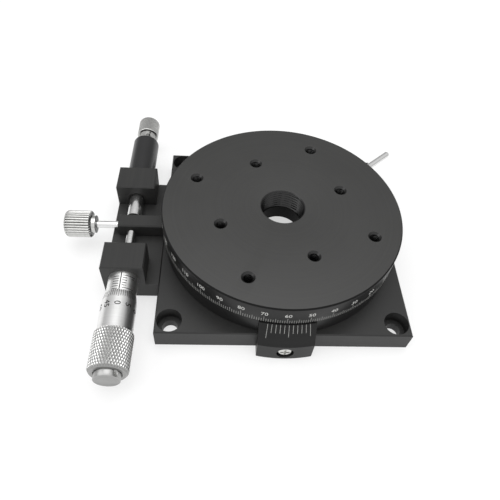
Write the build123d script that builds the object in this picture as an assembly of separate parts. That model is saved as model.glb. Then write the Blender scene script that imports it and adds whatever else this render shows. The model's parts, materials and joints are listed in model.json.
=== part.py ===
# Manual rotation stage with a tangent arm, micrometer, sprung plunger and two clamp screws
# Millimetres. +Z up, origin at the centre of the underside of the base, table axis on Z.
# The micrometer and the plunger lie along Y beside the base, on its -X side.
import os
from math import cos, radians, sin, sqrt, tan

from build123d import *

# Base plate
base_width = 90.0
base_height = 8.4
base_edge_chamfer = 0.4
base_hole_spacing = 80.0
base_hole_diameter = 5.3
base_counterbore_diameter = 8.8
base_counterbore_depth = 5.0

# Table
overall_height = 24.5
table_diameter = 90.0
table_thickness = 8.5
table_edge_chamfer = 0.45
table_lower_chamfer = 0.2
table_grid = 25.0
table_grid_turn = 22.3
table_tap_diameter = 3.4
table_tap_depth = 7.0
table_tap_chamfer = 0.75
centre_thread_diameter = 16.0
centre_thread_chamfer = 0.45

# Ball bearing between base and hub
bearing_bore = 40.0
bearing_outer = 52.0
bearing_width = 7.0
race_wall = 2.2
ball_diameter = 3.5
ball_count = 16
ball_play = 0.05
cage_thickness = 1.1
cage_width = 5.0
bearing_lip_thickness = 1.2
bearing_lip_width = 3.0
cover_thickness = 1.0
cover_width = 2.6

# Hub under the table
hub_nut_width = 2.6
hub_nut_gap = 0.3
hub_wall = 2.4
hub_collar_width = 2.4
hub_web_thickness = 5.7
hub_bore_diameter = 15.4
drum_diameter = 64.0
hub_screw_circle = 25.6
hub_screw_count = 4
hub_screw_diameter = 4.0
hub_screw_head_diameter = 7.8
hub_screw_engagement = 5.0
hub_screw_socket_radius = 1.4
hub_screw_socket_depth = 1.9

# Clamp ring and arm
pilot_wall = 1.6
pilot_clearance = 0.03
ring_width = 7.4
ring_thickness = 3.25
ring_floor_gap = 0.05
groove_depth = 2.4
groove_play = 0.5
drum_gap = 0.3
arm_width = 6.0
arm_height = 5.4
arm_floor_gap = 0.5
arm_past_axis = 5.0
arm_edge_chamfer = 0.5
arm_swing = 5.0
arm_drum_gap = 0.4
arm_root_angle = 28.0

# Housing ring round the hub
housing_diameter = 89.0
housing_ring_gap = 1.0
housing_table_gap = 0.3
housing_slot_play = 0.7
housing_screw_count = 4
housing_screw_turn = 20.0

# Small screws (heads and shanks of one size)
screw_diameter = 3.0
screw_head_diameter = 5.5
screw_head_height = 3.0
screw_head_play = 0.25
screw_head_recess = 0.2
screw_socket_radius = 1.4
screw_socket_depth = 1.5
set_screw_socket_radius = 0.85
set_screw_socket_depth = 1.0
cut_margin = 1.0
housing_screw_engagement = 9.6
bracket_screw_engagement = 7.5
vernier_screw_engagement = 7.0

# Vernier block
vernier_width = 19.5
vernier_depth = 5.0
vernier_floor_gap = 0.3
vernier_edge_height = 8.4
vernier_table_gap = 0.35
vernier_top_land = 0.95
vernier_screw_head_height = 1.9
vernier_screw_head_rounding = 1.1
vernier_screw_recess = 0.4
cross_arm = 1.6
cross_slot = 0.36
cross_depth = 0.9

# Side bracket
block_width = 15.0
block_length = 11.7
block_top = 18.0
block_neck = 4.5
bracket_length = 51.0
bracket_bottom = 0.8
bracket_screw_spacing = 16.0
spindle_exit_play = 0.6
exit_countersink = 0.6

# Axis shared by micrometer, plunger and thumbscrew
axis_height = 11.2
tip_gap = 0.06

# Micrometer
reading = 6.0
thimble_zero_gap = 1.6
sleeve_diameter = 10.4
sleeve_nose_wall = 1.2
sleeve_length = 36.2
thimble_clearance = 0.1
thimble_diameter = 11.8
thimble_bevel_length = 3.0
thimble_edge_wall = 0.12
thimble_barrel_length = 14.2
grip_diameter = 13.1
grip_length = 13.0
grip_chamfer = 0.8
grip_near_chamfer = 0.2
thimble_end_wall = 1.8
end_recess_diameter = 9.2
end_recess_depth = 0.8
end_cap_diameter = 8.6
end_cap_stand_out = 2.2
end_cap_chamfer = 0.2
end_cap_screw_diameter = 1.4
end_cap_screw_angle = 45.0
spindle_diameter = 3.5
spindle_clearance = 0.03
spindle_thread_diameter = 5.0
spindle_nose_chamfer = 0.5
spindle_thread_length = 18.0
spindle_thread_gap = 2.0
spindle_tail_diameter = 3.0
spindle_tail_grip = 2.0
tip_ball_diameter = 2.6
tip_ball_stand_out = 0.5
tip_ball_play = 0.03
nut_diameter = 8.0
nut_length = 4.0
nut_slot_width = 1.0
nut_slot_depth = 1.3
thread_clearance = 0.04

# Spring plunger
tube_diameter = 10.8
tube_stand_out = 22.5
tube_chamfer = 0.5
tube_bore = 7.2
tube_nose_wall = 3.5
rod_diameter = 5.6
rod_clearance = 0.04
rod_tip_radius = 6.0
rod_collar_diameter = 7.0
rod_collar_thickness = 1.5
rod_stop_gap = 6.0
stem_diameter = 1.8
plug_thickness = 3.0
spring_wire = 0.8
spring_turns = 7
pull_knob_diameter = 9.2
pull_knob_length = 9.2
pull_knob_gap = 5.2
pull_knob_recess_diameter = 6.6
pull_knob_recess_depth = 1.2
pull_knob_chamfer = 0.7
pull_knob_near_chamfer = 0.25
pull_knob_end_wall = 1.4

# Clamp screws
clamp_rod_diameter = 2.8
clamp_rod_clearance = 0.05
pad_length = 3.0
pad_drum_gap = 0.05
thumb_knob_diameter = 10.3
thumb_knob_length = 9.9
thumb_knob_rounding = 1.5
thumb_knob_flutes = 30
thumb_flute_radius = 0.32
thumb_collar_diameter = 6.8
thumb_collar_length = 1.5
thumb_rod_visible = 8.7
lock_angle = 41.5
lock_stand_out = 26.5
lock_end_rounding = 1.2

# Places that follow from the sizes above
table_radius = table_diameter / 2
table_bottom = overall_height - table_thickness
base_edge = base_width / 2
bearing_bottom = bearing_lip_thickness
bearing_top = bearing_bottom + bearing_width
bearing_mid = (bearing_bottom + bearing_top) / 2
ball_circle_radius = (bearing_bore + bearing_outer) / 4
ball_radius = ball_diameter / 2
cover_top = bearing_top + cover_thickness
pilot_radius = bearing_outer / 2 + pilot_wall
groove_floor = base_height - groove_depth
ring_bottom = groove_floor + ring_floor_gap
ring_top = ring_bottom + ring_thickness
ring_inner = pilot_radius + pilot_clearance
ring_outer = pilot_radius + ring_width
drum_radius = drum_diameter / 2
drum_bottom = ring_top + drum_gap
hub_bore_wide = bearing_bore / 2 - hub_wall
hub_web_bottom = table_bottom - hub_web_thickness
arm_bottom = base_height + arm_floor_gap
arm_top = arm_bottom + arm_height
housing_outer = housing_diameter / 2
housing_inner = ring_outer + housing_ring_gap
housing_top = table_bottom - housing_table_gap
screw_circle_radius = (housing_outer + housing_inner) / 2
clamp_hole_radius = clamp_rod_diameter / 2 + clamp_rod_clearance
lock_height = (base_height + housing_top) / 2
lock_reach = housing_outer + lock_stand_out
vernier_front_radius = base_edge + vernier_depth
block_outer_x = -(base_edge + block_neck + block_width)
block_inner_x = -(base_edge + block_neck)
axis_x = -(base_edge + block_neck + block_width / 2)
arm_reach = arm_past_axis - axis_x
bracket_end = bracket_length / 2
block_face = bracket_end - block_length
bracket_screw_height = (bracket_bottom + base_height) / 2
arm_face = arm_width / 2


def turned_z(points):
    """Solid of revolution about Z from (radius, height) points."""
    outline = Polyline(*[(radius, 0, height) for radius, height in points], close=True)
    return revolve(make_face(outline), axis=Axis.Z, revolution_arc=360)


def turned_y(points):
    """Solid of revolution about the micrometer's axis from (radius, y) points."""
    outline = Polyline(*[(axis_x + radius, y, axis_height) for radius, y in points], close=True)
    axis = Axis((axis_x, 0, axis_height), (0, 1, 0))
    return revolve(make_face(outline), axis=axis, revolution_arc=360)


def ring_z(inner, outer, low, high):
    """Plain ring about Z."""
    return turned_z([(inner, low), (outer, low), (outer, high), (inner, high)])


def rod_z(radius, low, high, x=0.0, y=0.0):
    """Round bar or hole along Z."""
    return Pos(x, y, (low + high) / 2) * Cylinder(radius, high - low)


def rod_y(radius, low, high, x=axis_x, z=axis_height):
    """Round bar or hole along Y."""
    return Pos(x, (low + high) / 2, z) * Rot(90, 0, 0) * Cylinder(radius, high - low)


def rod_x(radius, low, high, y=0.0, z=axis_height):
    """Round bar or hole along X."""
    return Pos((low + high) / 2, y, z) * Rot(0, 90, 0) * Cylinder(radius, high - low)


def block(x_low, x_high, y_low, y_high, z_low, z_high):
    """Box from its limits."""
    centre = Pos((x_low + x_high) / 2, (y_low + y_high) / 2, (z_low + z_high) / 2)
    return centre * Box(x_high - x_low, y_high - y_low, z_high - z_low)


def round_z(count, turn, radius):
    """Points evenly spaced on a circle about Z."""
    angles = [radians(turn + 360 * index / count) for index in range(count)]
    return [(radius * cos(angle), radius * sin(angle)) for angle in angles]


def all_of(shapes):
    """Separate solids kept together as one group."""
    return Compound(children=[shape for part in shapes for shape in part.solids()])


def housing_screw_places():
    """Centres of the screws that hold the housing to the base."""
    return round_z(housing_screw_count, housing_screw_turn, screw_circle_radius)


def bracket_screw_places():
    """Y of the two screws that hold the bracket to the base."""
    return [-bracket_screw_spacing / 2, bracket_screw_spacing / 2]


def hub_screw_places():
    """Centres of the screws that hold the hub to the table."""
    turn = table_grid_turn + 180 / hub_screw_count
    return round_z(hub_screw_count, turn, hub_screw_circle / 2)


def table_hole_places():
    """Centres of the table's eight tapped holes: four on the axes and four on the diagonals of a grid."""
    near = round_z(4, table_grid_turn, table_grid)
    far = round_z(4, table_grid_turn + 45, table_grid * sqrt(2))
    return near + far


def base_plate():
    """Square plate with the bearing pocket, the pilot for the clamp ring and four counterbored holes."""
    plate = block(-base_edge, base_edge, -base_edge, base_edge, 0, base_height)
    plate = chamfer(plate.faces().sort_by(Axis.Z)[-1].edges(), base_edge_chamfer)
    plate += rod_z(pilot_radius, 0, cover_top)
    plate -= rod_z(bearing_outer / 2, bearing_bottom, cover_top)
    plate -= rod_z(bearing_outer / 2 - bearing_lip_width, 0, bearing_bottom)
    plate -= ring_z(pilot_radius, ring_outer + groove_play, groove_floor, base_height)
    offset = base_hole_spacing / 2
    counterbore_floor = base_height - base_counterbore_depth
    for x in (-offset, offset):
        for y in (-offset, offset):
            plate -= rod_z(base_hole_diameter / 2, 0, base_height, x, y)
            plate -= rod_z(base_counterbore_diameter / 2, counterbore_floor, base_height, x, y)
    head_radius = screw_head_diameter / 2 + screw_head_play
    for x, y in housing_screw_places():
        plate -= rod_z(screw_diameter / 2, 0, base_height, x, y)
        plate -= rod_z(head_radius, 0, screw_head_height + screw_head_recess, x, y)
    hole_end = -base_edge + bracket_screw_engagement
    for y in bracket_screw_places():
        plate -= rod_x(screw_diameter / 2, -base_edge, hole_end, y, bracket_screw_height)
    plate -= rod_y(screw_diameter / 2, -base_edge, -base_edge + vernier_screw_engagement, 0, base_height / 2)
    return plate


def housing_ring():
    """Ring round the hub, open at one side for the arm, with the lock screw's cross hole."""
    ring = ring_z(housing_inner, housing_outer, base_height, housing_top)
    swing = radians(arm_swing)
    slot_half = housing_outer * sin(swing) + arm_face * cos(swing) + housing_slot_play
    ring -= block(-housing_diameter, 0, -slot_half, slot_half, base_height, housing_top)
    hole = rod_x(clamp_hole_radius, 0, housing_diameter, 0, lock_height)
    ring -= hole.rotate(Axis.Z, lock_angle)
    screw_top = screw_head_height + screw_head_recess + housing_screw_engagement
    for x, y in housing_screw_places():
        ring -= rod_z(screw_diameter / 2, base_height, screw_top, x, y)
    return ring


def cap_screw(length):
    """Socket head screw along Z: head below, shank from zero up to its length."""
    head = rod_z(screw_head_diameter / 2, -screw_head_height, 0)
    hexagon = RegularPolygon(screw_socket_radius, 6)
    socket = Pos(0, 0, -screw_head_height) * extrude(hexagon, screw_socket_depth)
    return head - socket + rod_z(screw_diameter / 2, 0, length)


def housing_screws():
    """Screws from below, through the base into the housing ring."""
    seat = screw_head_height + screw_head_recess
    screw = cap_screw(housing_screw_engagement)
    return all_of([Pos(x, y, seat) * screw for x, y in housing_screw_places()])


def vernier_screw_seat():
    """Y of the face that the vernier screw's head sits on."""
    return -vernier_front_radius + vernier_screw_head_height + vernier_screw_recess


def vernier_block():
    """Block on the base's front: round front face, long bevel that carries the lines, screw recess."""
    back_step = housing_outer
    top = table_bottom - vernier_table_gap
    top_radius = back_step + vernier_top_land
    profile = [
        (housing_inner, vernier_floor_gap),
        (vernier_front_radius, vernier_floor_gap),
        (vernier_front_radius, vernier_edge_height),
        (top_radius, top),
        (back_step, top),
        (back_step, base_height),
        (housing_inner, base_height),
    ]
    body = turned_z(profile)
    half = vernier_width / 2
    body &= block(-half, half, -vernier_front_radius - cut_margin, -housing_inner, 0, top)
    body -= block(-half, half, -base_edge, 0, 0, base_height)
    seat = vernier_screw_seat()
    mouth = -vernier_front_radius - cut_margin
    body -= rod_y(screw_head_diameter / 2 + screw_head_play, mouth, seat, 0, base_height / 2)
    body -= rod_y(screw_diameter / 2, seat, -base_edge, 0, base_height / 2)
    return body


def vernier_screw():
    """Round head screw with a cross recess that holds the vernier block."""
    seat = vernier_screw_seat()
    front = seat - vernier_screw_head_height
    head = rod_y(screw_head_diameter / 2, front, seat, 0, base_height / 2)
    head = fillet(head.edges().sort_by(Axis.Y)[0], vernier_screw_head_rounding)
    depth = front + cross_depth
    for half_x, half_z in ((cross_arm, cross_slot), (cross_slot, cross_arm)):
        head -= block(-half_x, half_x, front, depth, base_height / 2 - half_z, base_height / 2 + half_z)
    return head + rod_y(screw_diameter / 2, seat, -base_edge + vernier_screw_engagement, 0, base_height / 2)


def micrometer_bracket():
    """Channel beside the base: floor and two upright blocks, bored for micrometer and plunger."""
    body = block(block_outer_x, -base_edge, -bracket_end, bracket_end, bracket_bottom, base_height)
    for side in (-1, 1):
        low, high = sorted((side * block_face, side * bracket_end))
        upright = block(block_outer_x, block_inner_x, low, high, bracket_bottom, block_top)
        upright = chamfer(upright.faces().sort_by(Axis.Z)[-1].edges(), base_edge_chamfer)
        body += upright
    nose = block_face + sleeve_nose_wall
    body -= rod_y(sleeve_diameter / 2, -bracket_end, -nose)
    body -= rod_y(spindle_diameter / 2 + spindle_exit_play, -nose, -block_face)
    body -= rod_y(tube_diameter / 2, nose, bracket_end)
    exit_radius = rod_diameter / 2 + rod_clearance
    body -= turned_y([
        (0, block_face),
        (exit_radius + exit_countersink, block_face),
        (exit_radius, block_face + exit_countersink),
        (exit_radius, nose),
        (0, nose),
    ])
    for y in bracket_screw_places():
        body -= rod_x(screw_diameter / 2, block_outer_x, -base_edge, y, bracket_screw_height)
        head_end = block_outer_x + screw_head_height + screw_head_recess
        head_radius = screw_head_diameter / 2 + screw_head_play
        body -= rod_x(head_radius, block_outer_x, head_end, y, bracket_screw_height)
    for y in set_screw_places():
        body -= rod_x(screw_diameter / 2, block_outer_x, axis_x, y)
    return body


def set_screw_places():
    """Y of the two set screws, at the middle of each upright block."""
    middle = (block_face + bracket_end) / 2
    return [-middle, middle]


def bracket_screws():
    """Screws along X through the bracket's floor into the base."""
    seat = block_outer_x + screw_head_height + screw_head_recess
    length = -base_edge + bracket_screw_engagement - seat
    screw = Rot(0, 90, 0) * cap_screw(length)
    return all_of([Pos(seat, y, bracket_screw_height) * screw for y in bracket_screw_places()])


def bracket_set_screws():
    """Headless screws that hold the micrometer's sleeve and the plunger's tube."""
    screws = []
    radii = (sleeve_diameter / 2, tube_diameter / 2)
    for y, held in zip(set_screw_places(), radii):
        start = block_outer_x + screw_head_recess
        screw = rod_x(screw_diameter / 2, start, axis_x - held, y)
        socket = Pos(start, y, axis_height) * Rot(0, 90, 0)
        screw -= socket * extrude(RegularPolygon(set_screw_socket_radius, 6), set_screw_socket_depth)
        screws.append(screw)
    return all_of(screws)


def ball_places():
    """Centres of the bearing's balls."""
    return round_z(ball_count, 0, ball_circle_radius)


def race(inner, outer):
    """One race of the bearing with its ball groove."""
    body = ring_z(inner, outer, bearing_bottom, bearing_top)
    groove = Pos(ball_circle_radius, 0, bearing_mid) * Rot(90, 0, 0) * Circle(ball_radius + ball_play)
    return body - revolve(groove, axis=Axis.Z, revolution_arc=360)


def bearing_outer_race():
    """Race seated in the base."""
    return race(bearing_outer / 2 - race_wall, bearing_outer / 2)


def bearing_inner_race():
    """Race seated on the hub."""
    return race(bearing_bore / 2, bearing_bore / 2 + race_wall)


def bearing_balls():
    """Ring of separate balls."""
    return all_of([Pos(x, y, bearing_mid) * Sphere(ball_radius) for x, y in ball_places()])


def bearing_cage():
    """Ring between the races with a pocket for each ball."""
    inner = ball_circle_radius - cage_thickness / 2
    outer = inner + cage_thickness
    cage = ring_z(inner, outer, bearing_mid - cage_width / 2, bearing_mid + cage_width / 2)
    pocket_radius = ball_radius + ball_play / 2
    pocket = rod_x(pocket_radius, inner - cage_thickness, outer + cage_thickness, 0, bearing_mid)
    for index in range(ball_count):
        cage -= pocket.rotate(Axis.Z, 360 * index / ball_count)
    return cage


def bearing_cover():
    """Thin threaded ring that holds the outer race in the base."""
    outer = bearing_outer / 2
    return ring_z(outer - cover_width, outer, bearing_top, cover_top)


def rotary_table():
    """Round table with tapped holes on a square grid and a large threaded centre hole."""
    radius = table_radius
    bore = centre_thread_diameter / 2
    cut = table_edge_chamfer
    lead = centre_thread_chamfer
    body = turned_z([
        (bore, table_bottom),
        (radius - table_lower_chamfer, table_bottom),
        (radius, table_bottom + table_lower_chamfer),
        (radius, overall_height - cut),
        (radius - cut, overall_height),
        (bore + lead, overall_height),
        (bore, overall_height - lead),
    ])
    tap = table_tap_diameter / 2
    for x, y in table_hole_places():
        body -= Pos(x, y) * turned_z([
            (0, overall_height),
            (tap + table_tap_chamfer, overall_height),
            (tap, overall_height - table_tap_chamfer),
            (tap, overall_height - table_tap_depth),
            (0, overall_height - table_tap_depth),
        ])
    for x, y in hub_screw_places():
        body -= rod_z(hub_screw_diameter / 2, table_bottom, table_bottom + hub_screw_engagement, x, y)
    return body


def hub_screw_cone():
    """Height of a countersunk head of the hub screws."""
    return (hub_screw_head_diameter - hub_screw_diameter) / 2


def table_hub():
    """Drum that the pads press on, with a collar on the bearing and a spigot through it."""
    spigot = bearing_bore / 2
    body = turned_z([
        (hub_bore_wide, hub_nut_gap),
        (spigot, hub_nut_gap),
        (spigot, bearing_top),
        (spigot + hub_collar_width, bearing_top),
        (spigot + hub_collar_width, drum_bottom),
        (drum_radius, drum_bottom),
        (drum_radius, table_bottom),
        (hub_bore_diameter / 2, table_bottom),
        (hub_bore_diameter / 2, hub_web_bottom),
        (hub_bore_wide, hub_web_bottom),
    ])
    cone = hub_screw_cone()
    for x, y in hub_screw_places():
        body -= Pos(x, y) * turned_z([
            (0, hub_web_bottom),
            (hub_screw_head_diameter / 2, hub_web_bottom),
            (hub_screw_diameter / 2, hub_web_bottom + cone),
            (hub_screw_diameter / 2, table_bottom),
            (0, table_bottom),
        ])
    return body


def hub_screws():
    """Countersunk screws from below, through the hub's web into the table."""
    cone = hub_screw_cone()
    tip = table_bottom + hub_screw_engagement
    screw = turned_z([
        (0, hub_web_bottom),
        (hub_screw_head_diameter / 2, hub_web_bottom),
        (hub_screw_diameter / 2, hub_web_bottom + cone),
        (hub_screw_diameter / 2, tip),
        (0, tip),
    ])
    hexagon = RegularPolygon(hub_screw_socket_radius, 6)
    socket = Pos(0, 0, hub_web_bottom) * extrude(hexagon, hub_screw_socket_depth)
    return all_of([Pos(x, y) * (screw - socket) for x, y in hub_screw_places()])


def hub_nut():
    """Thin ring nut on the spigot, under the inner race."""
    inner = bearing_bore / 2
    return ring_z(inner, inner + hub_nut_width, hub_nut_gap, bearing_bottom)


def clamp_arm():
    """Ring that turns on the base's pilot, with the radial arm that the micrometer pushes."""
    inner_root = drum_radius + arm_drum_gap
    body = ring_z(ring_inner, ring_outer, ring_bottom, ring_top)
    root = ring_z(inner_root, ring_outer, ring_bottom, arm_top)
    wedge_x = ring_outer * 2
    wedge_y = wedge_x * tan(radians(arm_root_angle / 2))
    wedge = make_face(Polyline((0, 0), (-wedge_x, wedge_y), (-wedge_x, -wedge_y), close=True))
    body += root & extrude(wedge, arm_top)
    bar = block(-arm_reach, 0, -arm_face, arm_face, arm_bottom, arm_top)
    bar = chamfer(bar.edges().filter_by(Axis.X).group_by(Axis.Z)[-1], arm_edge_chamfer)
    bar -= rod_z(inner_root, arm_bottom, arm_top)
    body += bar
    body -= rod_x(clamp_hole_radius, -arm_reach, 0)
    return body


def clamp_pad(height):
    """Short brass pad that presses on the drum, made on the -X side."""
    inner = drum_radius + pad_drum_gap
    return rod_x(clamp_rod_diameter / 2, -inner - pad_length, -inner, 0, height)


def thumbscrew_rod():
    """Plain rod from the pad out to the knob."""
    inner = drum_radius + pad_drum_gap + pad_length
    outer = arm_reach + thumb_rod_visible + thumb_collar_length
    return rod_x(clamp_rod_diameter / 2, -outer, -inner)


def thumbscrew_knob():
    """Round fluted knob with a stepped collar towards the arm."""
    near = -(arm_reach + thumb_rod_visible)
    step = near - thumb_collar_length
    far = step - thumb_knob_length
    radius = thumb_knob_diameter / 2
    head = rod_x(radius, far, step)
    head = fillet(head.edges().sort_by(Axis.X)[0], thumb_knob_rounding)
    for y, z in round_z(thumb_knob_flutes, 0, radius):
        head -= rod_x(thumb_flute_radius, far, step, y, axis_height + z)
    collar = rod_x(thumb_collar_diameter / 2, step, near)
    return head + collar - rod_x(clamp_rod_diameter / 2, step, near)


def lock_screw():
    """Plain bright rod with a rounded end, in the housing's cross hole."""
    radius = clamp_rod_diameter / 2
    inner = drum_radius + pad_drum_gap + pad_length
    rod = rod_x(radius, inner, lock_reach, 0, lock_height)
    rod = fillet(rod.edges().sort_by(Axis.X)[-1], lock_end_rounding)
    return rod.rotate(Axis.Z, lock_angle)


def lock_pad():
    """Brass pad before the lock screw."""
    return clamp_pad(lock_height).rotate(Axis.Z, lock_angle + 180)


def thimble_front():
    """Y of the thimble's front edge, which follows the reading."""
    return -(bracket_end + thimble_zero_gap + reading)


def grip_start():
    """Y where the knurled grip starts."""
    return thimble_front() - thimble_barrel_length


def grip_end():
    """Y of the thimble's far end."""
    return grip_start() - grip_length - grip_chamfer


def thimble_wall_face():
    """Y of the inner face of the thimble's end wall."""
    return grip_end() + end_recess_depth + thimble_end_wall


def micrometer_sleeve():
    """Fixed sleeve, bored for the spindle, with a wide rear bore for the nut."""
    radius = sleeve_diameter / 2
    front = -(block_face + sleeve_nose_wall)
    end = front - sleeve_length
    guide = spindle_diameter / 2 + spindle_clearance
    thread = spindle_thread_diameter / 2 + thread_clearance
    return turned_y([
        (guide, front),
        (radius, front),
        (radius, end),
        (nut_diameter / 2, end),
        (nut_diameter / 2, end + nut_length),
        (thread, end + nut_length),
        (thread, -bracket_end),
        (guide, -bracket_end),
    ])


def micrometer_nut():
    """Split nut in the sleeve's rear that takes up the thread's play."""
    end = -(block_face + sleeve_nose_wall) - sleeve_length
    thread = spindle_thread_diameter / 2 + thread_clearance
    outer = nut_diameter / 2
    nut = turned_y([(thread, end), (outer, end), (outer, end + nut_length), (thread, end + nut_length)])
    for half_x, half_z in ((outer, nut_slot_width / 2), (nut_slot_width / 2, outer)):
        x_low = axis_x - half_x
        x_high = axis_x + half_x
        nut -= block(x_low, x_high, end, end + nut_slot_depth, axis_height - half_z, axis_height + half_z)
    return nut


def micrometer_tip_ball():
    """Captive hard ball in the spindle's end, just clear of the arm."""
    radius = tip_ball_diameter / 2
    return Pos(axis_x, -(arm_face + tip_gap + radius), axis_height) * Sphere(radius)


def micrometer_spindle():
    """Spindle with its rounded end and ball seat, thread and tail."""
    ball = tip_ball_diameter / 2
    radius = spindle_diameter / 2
    ball_front = -(arm_face + tip_gap)
    front = ball_front - tip_ball_stand_out
    thread_end = thimble_wall_face() + spindle_thread_gap
    thread_start = thread_end + spindle_thread_length
    tail_end = grip_end() + end_recess_depth - spindle_tail_grip
    body = turned_y([
        (0, front),
        (radius - spindle_nose_chamfer, front),
        (radius, front - spindle_nose_chamfer),
        (radius, thread_start),
        (spindle_thread_diameter / 2, thread_start),
        (spindle_thread_diameter / 2, thread_end),
        (spindle_tail_diameter / 2, thread_end),
        (spindle_tail_diameter / 2, tail_end),
        (0, tail_end),
    ])
    return body - Pos(axis_x, ball_front - ball, axis_height) * Sphere(ball + tip_ball_play)


def micrometer_thimble():
    """Thimble: bevelled front edge, plain barrel, thicker grip with a chamfered end."""
    front = thimble_front()
    end = grip_end()
    inner = sleeve_diameter / 2 + thimble_clearance
    barrel = thimble_diameter / 2
    grip = grip_diameter / 2
    recess = end + end_recess_depth
    return turned_y([
        (inner, front),
        (inner + thimble_edge_wall, front),
        (barrel, front - thimble_bevel_length),
        (barrel, grip_start()),
        (grip - grip_near_chamfer, grip_start()),
        (grip, grip_start() - grip_near_chamfer),
        (grip, end + grip_chamfer),
        (grip - grip_chamfer, end),
        (end_recess_diameter / 2, end),
        (end_recess_diameter / 2, recess),
        (spindle_tail_diameter / 2, recess),
        (spindle_tail_diameter / 2, thimble_wall_face()),
        (inner, thimble_wall_face()),
    ])


def micrometer_end_cap():
    """Smooth cap on the spindle's tail that holds the thimble."""
    start = grip_end() + end_recess_depth
    end = grip_end() - end_cap_stand_out
    radius = end_cap_diameter / 2
    tail = spindle_tail_diameter / 2
    tail_end = start - spindle_tail_grip
    body = turned_y([
        (tail, start),
        (radius, start),
        (radius, end + end_cap_chamfer),
        (radius - end_cap_chamfer, end),
        (0, end),
        (0, tail_end),
        (tail, tail_end),
    ])
    return body - end_cap_screw_bar(radius)


def end_cap_screw_bar(outer):
    """Round bar from the tail out to a radius, at the end cap's screw."""
    middle = grip_end() - end_cap_stand_out / 2
    tail = spindle_tail_diameter / 2
    bar = Pos(tail / 2 + outer / 2, 0, 0) * Rot(0, 90, 0) * Cylinder(end_cap_screw_diameter / 2, outer - tail)
    return Pos(axis_x, middle, axis_height) * Rot(0, -end_cap_screw_angle, 0) * bar


def end_cap_screw():
    """Tiny headless screw in the end cap's side."""
    return end_cap_screw_bar(end_cap_diameter / 2 - screw_head_recess)


def tube_end():
    """Y of the far end of the plunger's tube."""
    return bracket_end + tube_stand_out


def plunger_tube():
    """Black tube screwed into the rear block, bored for the spring, with a thick nose."""
    front = block_face + sleeve_nose_wall
    end = tube_end()
    radius = tube_diameter / 2
    bore = tube_bore / 2
    guide = rod_diameter / 2 + rod_clearance
    return turned_y([
        (guide, front),
        (radius, front),
        (radius, end - tube_chamfer),
        (radius - tube_chamfer, end),
        (bore, end),
        (bore, front + tube_nose_wall),
        (guide, front + tube_nose_wall),
    ])


def plunger_end_plug():
    """Plug in the tube's far end that guides the stem."""
    end = tube_end() - tube_chamfer
    bore = stem_diameter / 2 + rod_clearance
    outer = tube_bore / 2
    return turned_y([(bore, end), (outer, end), (outer, end - plug_thickness), (bore, end - plug_thickness)])


def collar_front():
    """Y of the front face of the rod's collar, inside the tube."""
    return block_face + sleeve_nose_wall + tube_nose_wall + rod_stop_gap


def plunger_rod():
    """Bright rod with a domed end on the arm, a collar for the spring and a thin stem."""
    radius = rod_diameter / 2
    front = arm_face + tip_gap
    dome = rod_tip_radius - sqrt(rod_tip_radius ** 2 - radius ** 2)
    collar = collar_front()
    stem_end = tube_end() + pull_knob_gap + pull_knob_length - pull_knob_end_wall
    body = rod_y(radius, front, collar)
    ball = Pos(axis_x, front + rod_tip_radius, axis_height) * Sphere(rod_tip_radius)
    keep = rod_y(radius, front + dome, collar)
    tip = (body & ball) + keep
    shoulder = rod_y(rod_collar_diameter / 2, collar, collar + rod_collar_thickness)
    return tip + shoulder + rod_y(stem_diameter / 2, collar + rod_collar_thickness, stem_end)


def plunger_spring():
    """Compression spring round the stem, from the collar to the plug."""
    start = collar_front() + rod_collar_thickness
    end = tube_end() - tube_chamfer - plug_thickness
    wire = spring_wire / 2
    mean = (tube_bore / 2 + stem_diameter / 2) / 2
    length = end - start - spring_wire
    path = Helix(length / spring_turns, length, mean)
    section = Plane(origin=path @ 0, z_dir=path % 0) * Circle(wire)
    coil = sweep(section, path=path)
    return Pos(axis_x, start + wire, axis_height) * Rot(-90, 0, 0) * coil


def plunger_knob():
    """Pull knob on the stem, recessed towards the tube."""
    near = tube_end() + pull_knob_gap
    far = near + pull_knob_length
    radius = pull_knob_diameter / 2
    stem = stem_diameter / 2
    stem_end = far - pull_knob_end_wall
    recess = near + pull_knob_recess_depth
    return turned_y([
        (stem, recess),
        (pull_knob_recess_diameter / 2, recess),
        (pull_knob_recess_diameter / 2, near),
        (radius - pull_knob_near_chamfer, near),
        (radius, near + pull_knob_near_chamfer),
        (radius, far - pull_knob_chamfer),
        (radius - pull_knob_chamfer, far),
        (0, far),
        (0, stem_end),
        (stem, stem_end),
    ])


def thumb_pad():
    """Brass pad before the thumbscrew."""
    return clamp_pad(axis_height)


pieces = {
    "base_plate": base_plate,
    "housing_ring": housing_ring,
    "housing_screws": housing_screws,
    "vernier_block": vernier_block,
    "vernier_screw": vernier_screw,
    "micrometer_bracket": micrometer_bracket,
    "bracket_screws": bracket_screws,
    "bracket_set_screws": bracket_set_screws,
    "bearing_outer_race": bearing_outer_race,
    "bearing_inner_race": bearing_inner_race,
    "bearing_balls": bearing_balls,
    "bearing_cage": bearing_cage,
    "bearing_cover": bearing_cover,
    "rotary_table": rotary_table,
    "table_hub": table_hub,
    "hub_screws": hub_screws,
    "hub_nut": hub_nut,
    "clamp_arm": clamp_arm,
    "thumb_pad": thumb_pad,
    "thumbscrew_rod": thumbscrew_rod,
    "thumbscrew_knob": thumbscrew_knob,
    "lock_screw": lock_screw,
    "lock_pad": lock_pad,
    "micrometer_sleeve": micrometer_sleeve,
    "micrometer_nut": micrometer_nut,
    "micrometer_tip_ball": micrometer_tip_ball,
    "micrometer_spindle": micrometer_spindle,
    "micrometer_thimble": micrometer_thimble,
    "micrometer_end_cap": micrometer_end_cap,
    "end_cap_screw": end_cap_screw,
    "plunger_tube": plunger_tube,
    "plunger_end_plug": plunger_end_plug,
    "plunger_rod": plunger_rod,
    "plunger_spring": plunger_spring,
    "plunger_knob": plunger_knob,
}

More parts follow.
